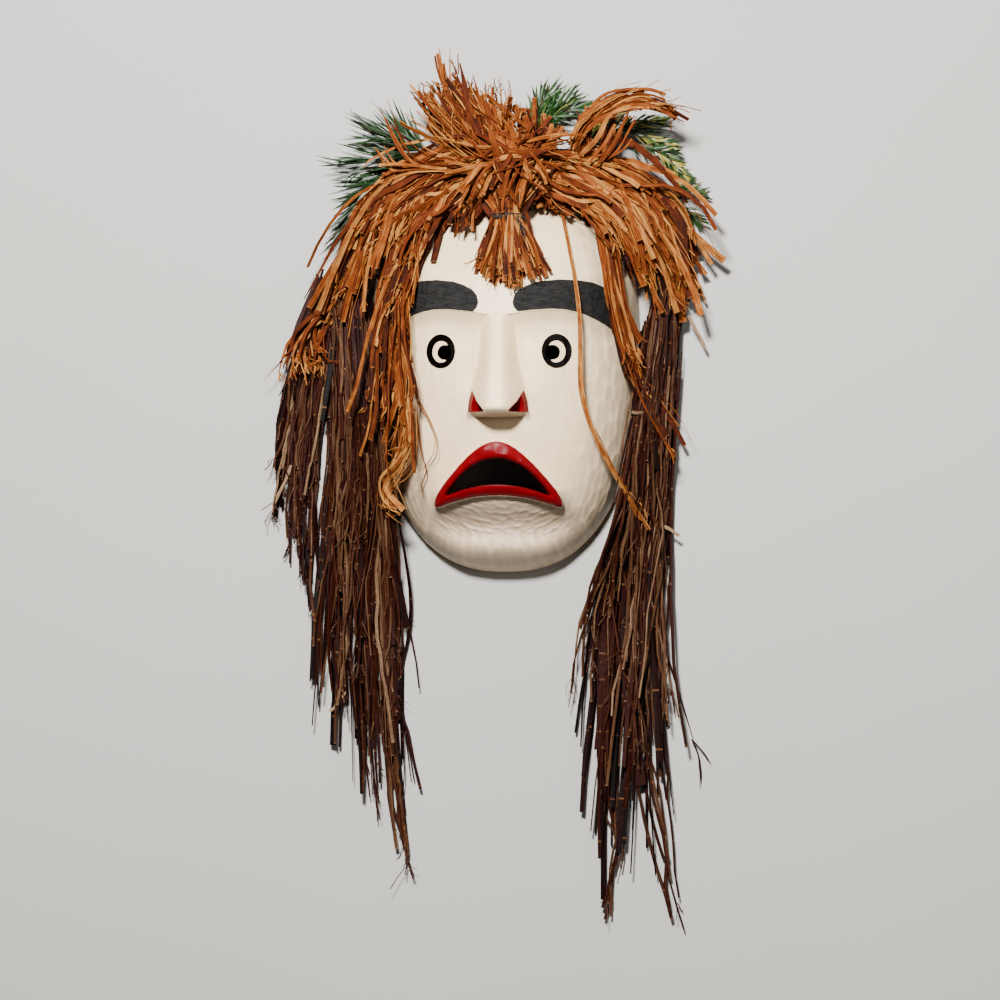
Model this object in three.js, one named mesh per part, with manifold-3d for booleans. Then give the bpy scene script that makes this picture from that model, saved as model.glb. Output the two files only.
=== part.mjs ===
// A carved and painted wooden face mask with shredded cedar bark for hair and conifer sprigs in the crown.
// It lies on its back as it is stored: the open rim down on the surface, the face up (+Z), the crown
// towards +Y, and the long bark strips beside it, running towards -Y. Units are millimetres.
// Every piece is drawn in the mask's own frame: x = 0 on the nose line, y = 0 on the widest line, just
// above the eyes, and z = 0 on the flat cut rim. The last lines move the whole to its final place.
import * as THREE from "three";
import { mergeVertices } from "three/addons/utils/BufferGeometryUtils.js";
import Module from "manifold-3d";

const wasm = await Module();
wasm.setup();

// Carved mask. The outline is a superellipse, squarer over the forehead than around the chin.
const MASK = { halfWidth: 115, above: 132, below: 191, depth: 98 };
const WALL = 10;
const FOREHEAD_SQUARENESS = 3.2;
const CHIN_SQUARENESS = 2.4;
const DOME_SQUARENESS = 2.1;

const BROW = { edgeY: 28.8, peakX: 48, step: 8, hollow: 3.5 };
const NOSE = { topY: 32, tipY: -52, footY: -60, rise: 33 };
const LIPS = { reach: 53, height: 7 };
const MOUTH = { reach: 39.5, opening: 10.25 };
const PUPIL = { x: 45, y: -6, radius: 5.8 };

// Bark and greenery.
const STRIP_THICKNESS = 4.6;
const STACK = 2.3;
const BAND_RADIUS = 5.4;
const BUNDLE = { x: 8, y: 157, z: 45, radius: 22 };
const FRINGE_LIFT = 17;
const NEEDLE = { length: 38, radius: 1.3 };
const FLOOR_GAP = 0.4;

// Slivers that the joins leave are smoothed away down to this size.
const SLIVER = 0.4;

const PAINTED_WOOD = { color: 0xe9e1d6, roughness: 0.5, metalness: 0 };
const ORANGE_BARK = { color: 0xb5652b, roughness: 0.8, metalness: 0 };
const DARK_BARK = { color: 0x5e3423, roughness: 0.75, metalness: 0 };
const FOLIAGE = { color: 0x27492a, roughness: 0.6, metalness: 0 };
const THREAD = { color: 0x2b1d16, roughness: 0.9, metalness: 0 };

const mix = THREE.MathUtils.lerp;
const point = (x, y, z = 0) => new THREE.Vector3(x, y, z);

function smooth(from, to, value) {
  const t = THREE.MathUtils.clamp((value - from) / (to - from), 0, 1);
  return t * t * (3 - 2 * t);
}

// An even scatter between -1 and 1 that is the same on every run.
function sway(seed) {
  const wave = Math.sin(seed * 12.9898) * 43758.5453;
  return (wave - Math.floor(wave)) * 2 - 1;
}

function solidFrom(geometry) {
  const loose = geometry.index ? geometry.toNonIndexed() : geometry;
  const bare = new THREE.BufferGeometry().setAttribute("position", loose.getAttribute("position"));
  const merged = mergeVertices(bare, 1e-4);
  const mesh = new wasm.Mesh({
    numProp: 3,
    vertProperties: new Float32Array(merged.attributes.position.array),
    triVerts: new Uint32Array(merged.index.array),
  });
  return new wasm.Manifold(mesh);
}

function geometryFrom(solid) {
  const mesh = solid.getMesh();
  const geometry = new THREE.BufferGeometry();
  geometry.setAttribute("position", new THREE.BufferAttribute(mesh.vertProperties, mesh.numProp));
  geometry.setIndex(new THREE.BufferAttribute(mesh.triVerts, 1));
  return geometry;
}

const joined = (solids) => solids.reduce((all, one) => all.add(one));

// Strips that cross can close off a small pocket between them. Its skin has a negative volume and is dropped.
const fused = (solids) => joined(joined(solids).decompose().filter((body) => body.volume() > 0));

function node(name, solid, finish) {
  const tidy = solid.simplify(SLIVER);
  const mesh = new THREE.Mesh(geometryFrom(tidy), new THREE.MeshStandardMaterial(finish));
  mesh.name = name;
  return mesh;
}

function solidFromTriangles(corners) {
  const positions = corners.flatMap((corner) => [corner.x, corner.y, corner.z]);
  const geometry = new THREE.BufferGeometry();
  return solidFrom(geometry.setAttribute("position", new THREE.Float32BufferAttribute(positions, 3)));
}

// A skin over equal rings of points. A closed run joins the last ring to the first; an open one is capped.
function skin(rings, closed = false) {
  const corners = [];
  const around = rings[0].length;
  const runs = closed ? rings.length : rings.length - 1;
  for (let k = 0; k < runs; k++) {
    const here = rings[k];
    const next = rings[(k + 1) % rings.length];
    for (let i = 0; i < around; i++) {
      const j = (i + 1) % around;
      corners.push(here[i], here[j], next[j], here[i], next[j], next[i]);
    }
  }
  if (!closed) {
    const last = rings.at(-1);
    for (let i = 1; i + 1 < around; i++) {
      corners.push(rings[0][0], rings[0][i + 1], rings[0][i]);
      corners.push(last[0], last[i], last[i + 1]);
    }
  }
  return solidFromTriangles(corners);
}

// The mask's outline and dome. The share is 0 in the middle and 1 on the rim.
function rimShare(x, y, form = MASK) {
  const power = y > 0 ? FOREHEAD_SQUARENESS : CHIN_SQUARENESS;
  const reach = y > 0 ? form.above : form.below;
  return (Math.abs(x / form.halfWidth) ** power + Math.abs(y / reach) ** power) ** (1 / power);
}

function halfWidthAt(y, form) {
  const power = y > 0 ? FOREHEAD_SQUARENESS : CHIN_SQUARENESS;
  const reach = y > 0 ? form.above : form.below;
  return form.halfWidth * (1 - Math.abs(y / reach) ** power) ** (1 / power);
}

function domeHeight(share, depth) {
  return depth * (1 - Math.min(1, share) ** DOME_SQUARENESS) ** (1 / DOME_SQUARENESS);
}

// Soft carving: the hollow under each brow, beside the nose and under the lower lip.
function browLine(x) {
  const aside = Math.abs(x) - BROW.peakX;
  return BROW.edgeY - (aside > 0 ? 0.0075 : 0.0026) * aside ** 2;
}

function hollows(x, y) {
  const under = browLine(x) - y;
  const socket = BROW.hollow * smooth(-3, 4, under) * (1 - smooth(8, 34, under));
  const beside = 2.5 * Math.exp(-(((Math.abs(x) - 22) / 12) ** 2)) * smooth(24, 0, y) * smooth(-44, -20, y);
  const chin = 6.5 * Math.exp(-(((y + 137) / 10) ** 2)) * (1 - smooth(26, 60, Math.abs(x)));
  return socket * (1 - smooth(80, 104, Math.abs(x))) + beside + chin;
}

function faceHeight(x, y) {
  const share = rimShare(x, y);
  return domeHeight(share, MASK.depth) - hollows(x, y) * (1 - smooth(0.85, 0.97, share));
}

// A dome closed by a flat foot at z = 0: rows of points between one point at the chin and one at the crown.
function dome(form, columns, rows, height) {
  const spread = Array.from({ length: columns + 1 }, (_, i) => {
    const t = (2 * i) / columns - 1;
    return Math.sin((Math.PI / 2) * t * (0.6 + 0.4 * t * t));
  });
  const net = rows.map((y) =>
    spread.map((u, i) => {
      const x = u * halfWidthAt(y, form);
      return point(x, y, i === 0 || i === columns ? 0 : height(x, y));
    }),
  );
  const top = net.at(-1);
  const chin = point(0, -form.below);
  const crown = point(0, form.above);
  const corners = [chin, net[0][0], net[0][columns], crown, top[columns], top[0]];
  for (let i = 0; i < columns; i++) {
    corners.push(chin, net[0][i + 1], net[0][i], crown, top[i], top[i + 1]);
    for (let j = 0; j + 1 < rows.length; j++) {
      corners.push(net[j][i], net[j][i + 1], net[j + 1][i + 1]);
      corners.push(net[j][i], net[j + 1][i + 1], net[j + 1][i]);
    }
  }
  for (let j = 0; j + 1 < rows.length; j++) {
    corners.push(net[j][0], net[j + 1][0], net[j + 1][columns]);
    corners.push(net[j][0], net[j + 1][columns], net[j][columns]);
  }
  return solidFromTriangles(corners);
}

// Rows along an arc crowd towards the rim; even rows leave out their last value.
const arcRows = (reach, from, to, count) =>
  Array.from({ length: count }, (_, k) => reach * Math.sin(mix(from, to, k / (count - 1))));
const evenRows = (from, to, count) => Array.from({ length: count }, (_, k) => mix(from, to, k / count));

function prism(outline, from, to) {
  const shape = new THREE.Shape(outline.map(([x, y]) => new THREE.Vector2(x, y)));
  const solid = new THREE.ExtrudeGeometry(shape, { depth: to - from, bevelEnabled: false });
  return solidFrom(solid.translate(0, 0, from));
}

function head() {
  const rows = [
    ...arcRows(MASK.below, -1.44, -0.92, 5),
    ...evenRows(-144, -74, 9),
    ...evenRows(-74, -12, 4),
    ...evenRows(-12, 34, 6),
    ...arcRows(MASK.above, 0.28, 1.44, 7),
  ];
  return dome(MASK, 24, rows, faceHeight);
}

// The forehead and brows stand proud of the sockets and run out into the temples.
function forehead() {
  const proud = (x, y) => {
    const fade = (1 - smooth(74, 112, Math.abs(x))) * (1 - 0.9 * smooth(50, 128, y));
    return faceHeight(x, y) + hollows(x, y) + (BROW.step + 1) * fade - 1;
  };
  const rows = [...evenRows(-12, 36, 4), ...arcRows(MASK.above, 0.3, 1.44, 6)];
  const edge = Array.from({ length: 31 }, (_, k) => mix(-110, 110, k / 30)).map((x) => [x, browLine(x)]);
  const region = [...edge, [110, MASK.above + 5], [-110, MASK.above + 5]];
  return dome(MASK, 20, rows, proud).intersect(prism(region, 20, 140));
}

function nose() {
  const ring = (y, rise, flat, foot) => {
    const ridge = domeHeight(rimShare(0, y), MASK.depth) + rise;
    const base = faceHeight(foot, y);
    const shoulder = point(mix(foot, flat, 0.55), y, mix(base, ridge, 0.62));
    return [
      point(-foot, y, base - 6),
      point(-foot, y, base),
      point(-shoulder.x, y, shoulder.z),
      point(-flat, y, ridge),
      point(flat, y, ridge),
      shoulder,
      point(foot, y, base),
      point(foot, y, base - 6),
    ];
  };
  const down = (share, flat, foot) => {
    const rise = mix(6, NOSE.rise, share ** 1.15);
    return ring(mix(NOSE.topY, NOSE.tipY, share), rise, flat, foot);
  };
  return skin([
    ring(NOSE.footY, 0.5, 5, 19),
    ring(mix(NOSE.footY, NOSE.tipY, 0.45), NOSE.rise * 0.6, 6, 23),
    ring(NOSE.tipY - 1.2, NOSE.rise - 2, 7, 24.5),
    down(1, 8, 25),
    down(0.9, 8, 24),
    down(0.75, 7, 20),
    down(0.5, 5.5, 16),
    down(0.25, 5, 14),
    down(0, 5.5, 14),
    ring(NOSE.topY + 12, 6, 7, 15),
  ]);
}

// Each nostril wing is a hollow triangle cut in beside the tip.
function nostril(side) {
  const corners = [[21.5, -38.5], [10, -55.6], [27, -55.6]].map(([x, y]) => [side * x, y]);
  const floor = faceHeight(20, -50) + 3.5;
  return prism(corners, floor, floor + 40);
}

// Lips: a raised ring around the mouth, thick in the middle and thin at the turned-down corners.
const lipMiddle = (x) => -102.35 - 0.0117 * x ** 2;
const lipHalf = (x) => (22.55 - 0.0055 * x ** 2) * Math.sqrt(1 - Math.min(1, Math.abs(x / LIPS.reach)) ** 8);
const mouthMiddle = (x) => -104.75 - 0.0114 * x ** 2;
const mouthHalf = (x) => MOUTH.opening * (1 - Math.min(1, Math.abs(x / MOUTH.reach)) ** 2);

function lips() {
  const around = 28;
  const rings = Array.from({ length: around }, (_, k) => {
    const turn = (2 * Math.PI * k) / around;
    const side = Math.sin(turn);
    const sign = Math.abs(side) < 1e-6 ? 0 : Math.sign(side);
    const outX = LIPS.reach * Math.cos(turn);
    const inX = (MOUTH.reach - 1.5) * Math.cos(turn);
    const outer = point(outX, lipMiddle(outX) + sign * lipHalf(outX));
    const inner = point(inX, mouthMiddle(inX) + sign * Math.max(0, mouthHalf(inX) - 1.2));
    const at = (share, rise) => {
      const spot = outer.clone().lerp(inner, share);
      return spot.setZ(faceHeight(spot.x, spot.y) + hollows(spot.x, spot.y) + rise);
    };
    return [at(0, -9), at(1, -9), at(1, 2), at(0.4, LIPS.height), at(0.12, LIPS.height * 0.8), at(0, 1.5)];
  });
  return skin(rings, true);
}

function mouth() {
  const steps = 14;
  const across = Array.from({ length: steps + 1 }, (_, k) => -MOUTH.reach * Math.cos((Math.PI * k) / steps));
  const lower = across.map((x) => [x, mouthMiddle(x) - mouthHalf(x)]);
  const upper = across.slice(1, -1).reverse().map((x) => [x, mouthMiddle(x) + mouthHalf(x)]);
  return prism([...lower, ...upper], 10, MASK.depth + 40);
}

function sightHole(side) {
  const drill = new THREE.CylinderGeometry(PUPIL.radius, PUPIL.radius, 80, 16).rotateX(Math.PI / 2);
  return solidFrom(drill.translate(side * PUPIL.x, PUPIL.y, MASK.depth));
}

function cavity() {
  const form = {
    halfWidth: MASK.halfWidth - WALL,
    above: MASK.above - WALL,
    below: MASK.below - WALL,
    depth: MASK.depth - WALL - 2,
  };
  const rows = [...arcRows(form.below, -1.4, 0, 8), ...arcRows(form.above, 0.25, 1.4, 5)];
  const height = (x, y) => 2 + domeHeight(rimShare(x, y, form), form.depth);
  return dome(form, 14, rows, height).translate([0, 0, -1]);
}

function carvedFace() {
  const block = fused([head(), forehead(), nose(), lips()]);
  return [cavity(), mouth(), nostril(1), nostril(-1), sightHole(1), sightHole(-1)].reduce(
    (rest, cutter) => rest.subtract(cutter),
    block,
  );
}

// Hair lies on a hill that covers the mask closely and runs out to the surface around it.
const hill = (x, y) => MASK.depth * (1 - smooth(0.35, 1.45, rimShare(x, y)));
const flat = () => 0;

function overFringe(x, y) {
  const outside = smooth(0.9, 1.3, rimShare(x, y)) * mix(5, 12, smooth(60, 110, y));
  return hill(x, y) + FRINGE_LIFT + outside;
}

function besideMask(x, y) {
  return hill(x, y) + STRIP_THICKNESS / 2 + FLOOR_GAP + 1.6 * smooth(1.5, 0.8, rimShare(x, y));
}

// A flat strip of bark along a path seen from above. Both its edges follow the layer that it lies on.
function strip(path, layer, width, steps = 6, thickness = STRIP_THICKNESS) {
  const track = new THREE.CatmullRomCurve3(path, false, "centripetal");
  const onTrack = (t) => track.getPointAt(THREE.MathUtils.clamp(t, 0, 1));
  const settled = (spot) => spot.setZ(spot.z + layer(spot.x, spot.y));
  const rings = Array.from({ length: steps + 1 }, (_, k) => {
    const t = k / steps;
    const along = settled(onTrack(t + 0.02)).sub(settled(onTrack(t - 0.02))).normalize();
    const across = point(along.y, -along.x).normalize();
    const half = (width / 2) * mix(0.6, 1, smooth(0, 0.25, t)) * mix(1, 0.7, t);
    const left = settled(onTrack(t).addScaledVector(across, -half));
    const right = settled(onTrack(t).addScaledVector(across, half));
    const outward = right.clone().sub(left).cross(along).normalize();
    const corner = (edge, side) => edge.clone().addScaledVector(outward, (side * thickness) / 2);
    return [corner(left, -1), corner(left, 1), corner(right, 1), corner(right, -1)];
  });
  return skin(rings);
}

// A fan: strips that start side by side on one line and end side by side on another. Every second strip
// lies a little higher, half on its neighbours.
function fan({ root, end, bow = [0, 0], count, width, layer, stagger = 20, seed = 1, steps = 4 }) {
  const strips = Array.from({ length: count }, (_, i) => {
    const share = i / (count - 1);
    const start = root[0].clone().lerp(root[1], share);
    const stop = end[0].clone().lerp(end[1], share);
    const along = stop.clone().sub(start).setZ(0).normalize();
    stop.addScaledVector(along, -stagger * (0.5 + 0.5 * sway(seed + i)));
    const side = point(-along.y, along.x).multiplyScalar(mix(bow[0], bow[1], share));
    const near = start.clone().lerp(stop, 0.3).add(side);
    const far = start.clone().lerp(stop, 0.65).addScaledVector(side, 0.8);
    far.x += 2 * sway(seed + i + 40);
    near.z = mix(start.z, stop.z, 0.8);
    far.z = stop.z;
    const points = [start, near, far, stop].map((spot) => spot.setZ(spot.z + STACK * (i % 2)));
    return strip(points, layer, width * (1 + 0.15 * sway(seed + i + 70)), steps);
  });
  return fused(strips);
}

// A lock: strips that run together along one path, spread sideways by a given reach at each of its points.
function lock({ path, spread, count, width, layer, seed = 1, steps = 6 }) {
  const strips = Array.from({ length: count }, (_, i) => {
    const offset = count === 1 ? 0 : mix(-1, 1, i / (count - 1));
    const points = path.map((spot, k) => {
      const along = path[Math.min(k + 1, path.length - 1)].clone().sub(path[Math.max(k - 1, 0)]).setZ(0);
      const side = point(-along.y, along.x).normalize();
      return spot.clone().addScaledVector(side, offset * spread[k]).setZ(spot.z + STACK * (i % 2));
    });
    const last = points.at(-1);
    last.lerp(points.at(-2), 0.18 * (1 + sway(seed + i)));
    return strip(points, layer, width * (1 + 0.15 * sway(seed + i + 20)), steps);
  });
  return fused(strips);
}

// A point on the shoulder of the bundle, at an angle in degrees from +X seen from above.
function onBundle(angle, z = 22) {
  const turn = THREE.MathUtils.degToRad(angle);
  return point(BUNDLE.x + BUNDLE.radius * Math.cos(turn), BUNDLE.y + BUNDLE.radius * Math.sin(turn), z);
}

function crownBundle() {
  const ball = new THREE.SphereGeometry(BUNDLE.radius, 12, 7).scale(1, 0.94, 0.88);
  return solidFrom(ball.translate(BUNDLE.x, BUNDLE.y, BUNDLE.z));
}

// A roll of bark along the top of the forehead, just clear of the wood.
function hairlineBand() {
  const steps = 14;
  const share = 0.93;
  const middles = Array.from({ length: steps + 1 }, (_, k) => {
    const turn = mix(Math.PI - 0.3, 0.3, k / steps);
    const reach = Math.cos(turn);
    const x = MASK.halfWidth * share * Math.sign(reach) * Math.abs(reach) ** (2 / FOREHEAD_SQUARENESS);
    const y = MASK.above * share * Math.sin(turn) ** (2 / FOREHEAD_SQUARENESS);
    const slopeX = faceHeight(x + 0.5, y) - faceHeight(x - 0.5, y);
    const slopeY = faceHeight(x, y + 0.5) - faceHeight(x, y - 0.5);
    const out = point(-slopeX, -slopeY, 1).normalize();
    return point(x, y, faceHeight(x, y)).addScaledVector(out, BAND_RADIUS + 1.4);
  });
  const rings = middles.map((middle, k) => {
    const along = middles[Math.min(k + 1, steps)].clone().sub(middles[Math.max(k - 1, 0)]).normalize();
    const up = point(0, 0, 1).addScaledVector(along, -along.z).normalize();
    const side = along.clone().cross(up);
    const swell = BAND_RADIUS * (1 + 0.08 * sway(k));
    return Array.from({ length: 6 }, (_, i) => {
      const turn = (-2 * Math.PI * i) / 6;
      const spot = middle.clone().addScaledVector(side, swell * Math.cos(turn));
      return spot.addScaledVector(up, swell * Math.sin(turn));
    });
  });
  return skin(rings);
}

function fringeLeft() {
  const layer = overFringe;
  const upper = [onBundle(164), onBundle(178)];
  const lower = [onBundle(182), onBundle(200)];
  return fused([
    fan({ root: upper, end: [point(-140, 140), point(-182, 66)], bow: [-14, -30], count: 4, width: 14, layer }),
    fan({ root: lower, end: [point(-188, 40), point(-126, -4)], bow: [-32, -26], count: 5, width: 13, layer, seed: 9 }),
  ]);
}

function fringeRight() {
  const layer = overFringe;
  const upper = [onBundle(20), onBundle(8)];
  const lower = [onBundle(4), onBundle(-8)];
  return fused([
    fan({ root: upper, end: [point(166, 124), point(188, 64)], bow: [8, 22], count: 4, width: 13, layer, seed: 3 }),
    fan({ root: lower, end: [point(178, 2), point(134, 18)], bow: [26, 30], count: 5, width: 12, layer, seed: 5 }),
  ]);
}

function crownSpray() {
  const upright = [onBundle(88, 60), onBundle(120, 60)];
  const leaning = [onBundle(126, 60), onBundle(138, 60)];
  const tall = [point(16, 222, 52), point(-56, 262, 60)];
  const low = [point(-82, 224, 54), point(-106, 182, 44)];
  return fused([
    fan({ root: upright, end: tall, bow: [4, -4], count: 4, width: 9, layer: flat, stagger: 14, seed: 12 }),
    fan({ root: leaning, end: low, bow: [-4, -8], count: 3, width: 10, layer: flat, stagger: 12, seed: 15 }),
  ]);
}

function archSpray() {
  const path = [onBundle(56, 60), point(52, 192, 64), point(84, 211, 62), point(122, 215, 56), point(160, 192, 48)];
  return lock({ path, spread: [2, 9, 12, 12, 16], count: 3, width: 9, layer: flat, seed: 4 });
}

function cheekLock() {
  const layer = overFringe;
  const upper = [onBundle(226), point(-44, 122, 17), point(-80, 79, 12)];
  const long = [...upper, point(-87, 14, 10), point(-83, -60, 8), point(-93, -134)];
  const curled = [point(-83, -60, 8), point(-92, -108, 4), point(-104, -138, 0), point(-114, -128, 0)];
  const shorts = { root: [onBundle(232), onBundle(238)], end: [point(-66, 26, 8), point(-42, 66, 8)], bow: [-10, -6] };
  return fused([
    lock({ path: long, spread: [1, 4, 8, 11, 11, 13], count: 3, width: 9, layer, seed: 2 }),
    strip(curled, layer, 9, 6),
    fan({ ...shorts, count: 2, width: 8, layer, seed: 6 }),
  ]);
}

function templeLock() {
  const layer = overFringe;
  const upper = [onBundle(-34), point(58, 126, 15), point(84, 84, 11)];
  const long = [...upper, point(104, 18, 10), point(127, -54, 6), point(156, -162)];
  const shorts = { root: [onBundle(-40), onBundle(-44)], end: [point(84, 48, 8), point(69, 68, 8)], bow: [8, 6] };
  return fused([
    lock({ path: long, spread: [1, 3, 6, 7, 8, 10], count: 3, width: 7, layer, seed: 7 }),
    fan({ ...shorts, count: 2, width: 7, layer, seed: 8 }),
  ]);
}

function faceStrand() {
  const path = [onBundle(-68), point(29, 114), point(50, 76), point(60, 38), point(67, -20), point(84, -79), point(124, -154)];
  return strip(path, overFringe, 4, 11, 3);
}

function forelock() {
  const path = [point(8, 137, 67), point(8, 122, 74), point(8, 107, 80), point(9, 84, 96), point(10, 50, 106)];
  return lock({ path, spread: [5, 5, 4, 15, 29], count: 5, width: 9, layer: flat, seed: 11 });
}

function forelockTie() {
  const around = 14;
  const rings = Array.from({ length: around }, (_, k) => {
    const turn = (2 * Math.PI * k) / around;
    const out = point(Math.cos(turn), 0, -Math.sin(turn));
    const middle = point(8 + 15 * out.x, 107, 81 + 9.4 * out.z);
    const corners = [[-1, -1], [-1, 1], [1, 1], [1, -1]];
    return corners.map(([a, b]) => middle.clone().addScaledVector(out, 1.4 * a).add(point(0, 2.2 * b)));
  });
  return skin(rings, true);
}

// Long side strips. The middle bunch of each side lies on top of its neighbours.
function sideFan({ root, end, rise = 0, count = 4, width = 8, bow = [0, 0], stagger = 60, seed }) {
  const lifted = ([x, y]) => point(x, y, rise);
  const [first, last] = root.map(lifted);
  const reach = last.clone().sub(first).normalize().multiplyScalar(3);
  const cord = [first.clone().sub(reach), first.clone().lerp(last, 0.5), last.clone().add(reach)];
  const tied = strip(cord.map((spot) => spot.setY(spot.y - 5)), besideMask, 7, 3, STRIP_THICKNESS + 0.4);
  const lines = { root: [first, last], end: end.map(lifted) };
  const hanging = fan({ ...lines, bow, count, width, layer: besideMask, stagger, seed, steps: 4 });
  return fused([tied, hanging]);
}

const sideHairLeft = (bunch) =>
  sideFan({
    outer: { root: [[-184, 44], [-162, 40]], end: [[-203, -134], [-160, -330]], stagger: 30, seed: 21 },
    middle: { root: [[-158, 38], [-136, 36]], end: [[-142, -380], [-112, -425]], rise: 8.5, seed: 31 },
    inner: { root: [[-126, 32], [-110, 22]], end: [[-100, -350], [-74, -470]], seed: 41 },
  }[bunch]);

const sideHairRight = (bunch) =>
  sideFan({
    outer: { root: [[172, 12], [156, 20]], end: [[150, -440], [152, -507]], seed: 51 },
    middle: { root: [[152, 24], [138, 22]], end: [[126, -440], [90, -500]], rise: 8.5, seed: 61 },
    inner: { root: [[128, 20], [112, 8]], end: [[94, -490], [56, -380]], seed: 71 },
    short: { root: [[116, -14], [108, -20]], end: [[66, -270], [58, -262]], count: 2, stagger: 16, seed: 81 },
  }[bunch]);

function forkedTwig() {
  const stem = [point(160, -120, 2), point(164, -250, 2), point(167, -320, 2), point(172, -344, 2)];
  const prongs = [point(167, -374, 2), point(178, -352, 2)];
  const branches = prongs.map((tip) => strip([point(170, -334, 2), point(172, -346, 2), tip], besideMask, 3.4, 3, 3));
  return fused([strip(stem, besideMask, 4.5, 6, 3.4), ...branches]);
}

// A conifer sprig: a twig with flat-lying needles on both sides.
function sprig({ from, to, needles, seed, length = NEEDLE.length }) {
  const along = to.clone().sub(from).normalize();
  const side = point(-along.y, along.x).normalize();
  const twig = strip([from, from.clone().lerp(to, 0.5), to], flat, 4, 3, 3.6);
  const cones = Array.from({ length: needles }, (_, i) => {
    const share = 0.3 + (0.7 * i) / (needles - 1);
    const lean = mix(0.75, 0.15, share) + 0.2 * sway(seed + i);
    const across = (i % 2 ? 1 : -1) * (i === needles - 1 ? 0.1 : 1);
    const reach = length * (1 + 0.15 * sway(seed + i + 30));
    const heading = along.clone().multiplyScalar(1 - lean * 0.6).addScaledVector(side, across * (0.5 + lean));
    heading.setZ(0.14 * sway(seed + i + 60)).normalize();
    const cone = new THREE.ConeGeometry(NEEDLE.radius, reach, 3).translate(0, reach / 2, 0);
    const turn = new THREE.Quaternion().setFromUnitVectors(point(0, 1, 0), heading);
    const root = from.clone().lerp(to, share);
    return solidFrom(cone.applyQuaternion(turn).translate(root.x, root.y, root.z));
  });
  return fused([twig, ...cones]);
}

const group = new THREE.Group().add(
  node("carved_face", carvedFace(), PAINTED_WOOD),
  node("hairline_band", hairlineBand(), DARK_BARK),
  node("crown_bundle", crownBundle(), ORANGE_BARK),
  node("fringe_left", fringeLeft(), ORANGE_BARK),
  node("fringe_right", fringeRight(), ORANGE_BARK),
  node("crown_spray", crownSpray(), ORANGE_BARK),
  node("arch_spray", archSpray(), ORANGE_BARK),
  node("cheek_lock", cheekLock(), ORANGE_BARK),
  node("temple_lock", templeLock(), ORANGE_BARK),
  node("face_strand", faceStrand(), ORANGE_BARK),
  node("forelock", forelock(), ORANGE_BARK),
  node("forelock_tie", forelockTie(), THREAD),
  node("side_hair_left_outer", sideHairLeft("outer"), DARK_BARK),
  node("side_hair_left_middle", sideHairLeft("middle"), DARK_BARK),
  node("side_hair_left_inner", sideHairLeft("inner"), DARK_BARK),
  node("side_hair_right_outer", fused([sideHairRight("outer"), forkedTwig()]), DARK_BARK),
  node("side_hair_right_middle", sideHairRight("middle"), DARK_BARK),
  node("side_hair_right_inner", fused([sideHairRight("inner"), sideHairRight("short")]), DARK_BARK),
  node("sprig_left", sprig({ from: point(-10, 166, 10), to: point(-140, 164, 10), needles: 16, seed: 2 }), FOLIAGE),
  node("sprig_crown", sprig({ from: point(14, 176, 12), to: point(50, 216, 14), needles: 10, seed: 5 }), FOLIAGE),
  node("sprig_right", sprig({ from: point(30, 164, 10), to: point(148, 172, 10), needles: 16, seed: 8 }), FOLIAGE),
  node("sprig_low_right", sprig({ from: point(124, 128, 9), to: point(168, 112, 9), needles: 8, seed: 9, length: 22 }), FOLIAGE),
);

// The origin is the middle of the underside of the whole.
const bounds = new THREE.Box3().setFromObject(group);
const middle = bounds.getCenter(new THREE.Vector3());
group.children.forEach((mesh) => mesh.geometry.translate(-middle.x, -middle.y, -bounds.min.z));

export default group;
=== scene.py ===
"""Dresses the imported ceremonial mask: paint on the carved wood, shredded bark, dark side hair and sprigs.

Shapes are worked out in millimetres in the mask's own frame: x = 0 on the nose line, y = 0 on the widest
line just above the eyes, z = 0 on the rim that it lies on. They are put in place in metres at the end.
"""

import math

import bpy
import numpy as np
from mathutils import Matrix, Vector


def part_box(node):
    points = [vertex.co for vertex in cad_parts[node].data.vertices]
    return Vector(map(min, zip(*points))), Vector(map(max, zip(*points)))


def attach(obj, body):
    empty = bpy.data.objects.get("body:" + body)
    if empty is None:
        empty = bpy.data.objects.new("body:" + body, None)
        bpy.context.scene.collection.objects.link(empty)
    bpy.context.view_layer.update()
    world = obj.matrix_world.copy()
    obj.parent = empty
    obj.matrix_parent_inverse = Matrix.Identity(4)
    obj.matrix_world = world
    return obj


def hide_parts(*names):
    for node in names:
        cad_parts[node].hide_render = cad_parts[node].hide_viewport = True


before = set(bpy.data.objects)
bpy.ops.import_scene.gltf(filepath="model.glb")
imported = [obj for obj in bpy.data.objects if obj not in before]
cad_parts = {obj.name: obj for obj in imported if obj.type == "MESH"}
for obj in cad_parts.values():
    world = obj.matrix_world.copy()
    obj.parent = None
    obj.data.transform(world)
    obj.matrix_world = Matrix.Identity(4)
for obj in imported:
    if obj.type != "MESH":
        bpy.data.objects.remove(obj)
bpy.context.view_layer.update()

bl_info = {
    "name": "Winter ceremonial mask",
    "version": (1, 0, 0),
    "blender": (4, 5, 0),
    "location": "3D View > Sidebar > Mask",
    "description": "Paints the carved mask and dresses it in bark and greenery",
    "category": "Object",
}

# Reach of the carved face above and below y = 0, in metres. With its box they place the mask's own frame.
FACE_ABOVE = 0.132
FACE_BELOW = 0.191
FACE_LOW, FACE_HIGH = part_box("carved_face")
NOSE_LINE = (FACE_LOW.x + FACE_HIGH.x) / 2
WIDEST_LINE = (FACE_LOW.y + FACE_HIGH.y) / 2 + (FACE_BELOW - FACE_ABOVE) / 2
PLACE = np.array([NOSE_LINE, WIDEST_LINE, 0.0])

# Powers of the outline above and below y = 0, and of the dome: 2 is round, and more is squarer.
CROWN_POWER = 3.2
CHIN_POWER = 2.4
DOME_POWER = 2.1
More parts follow.
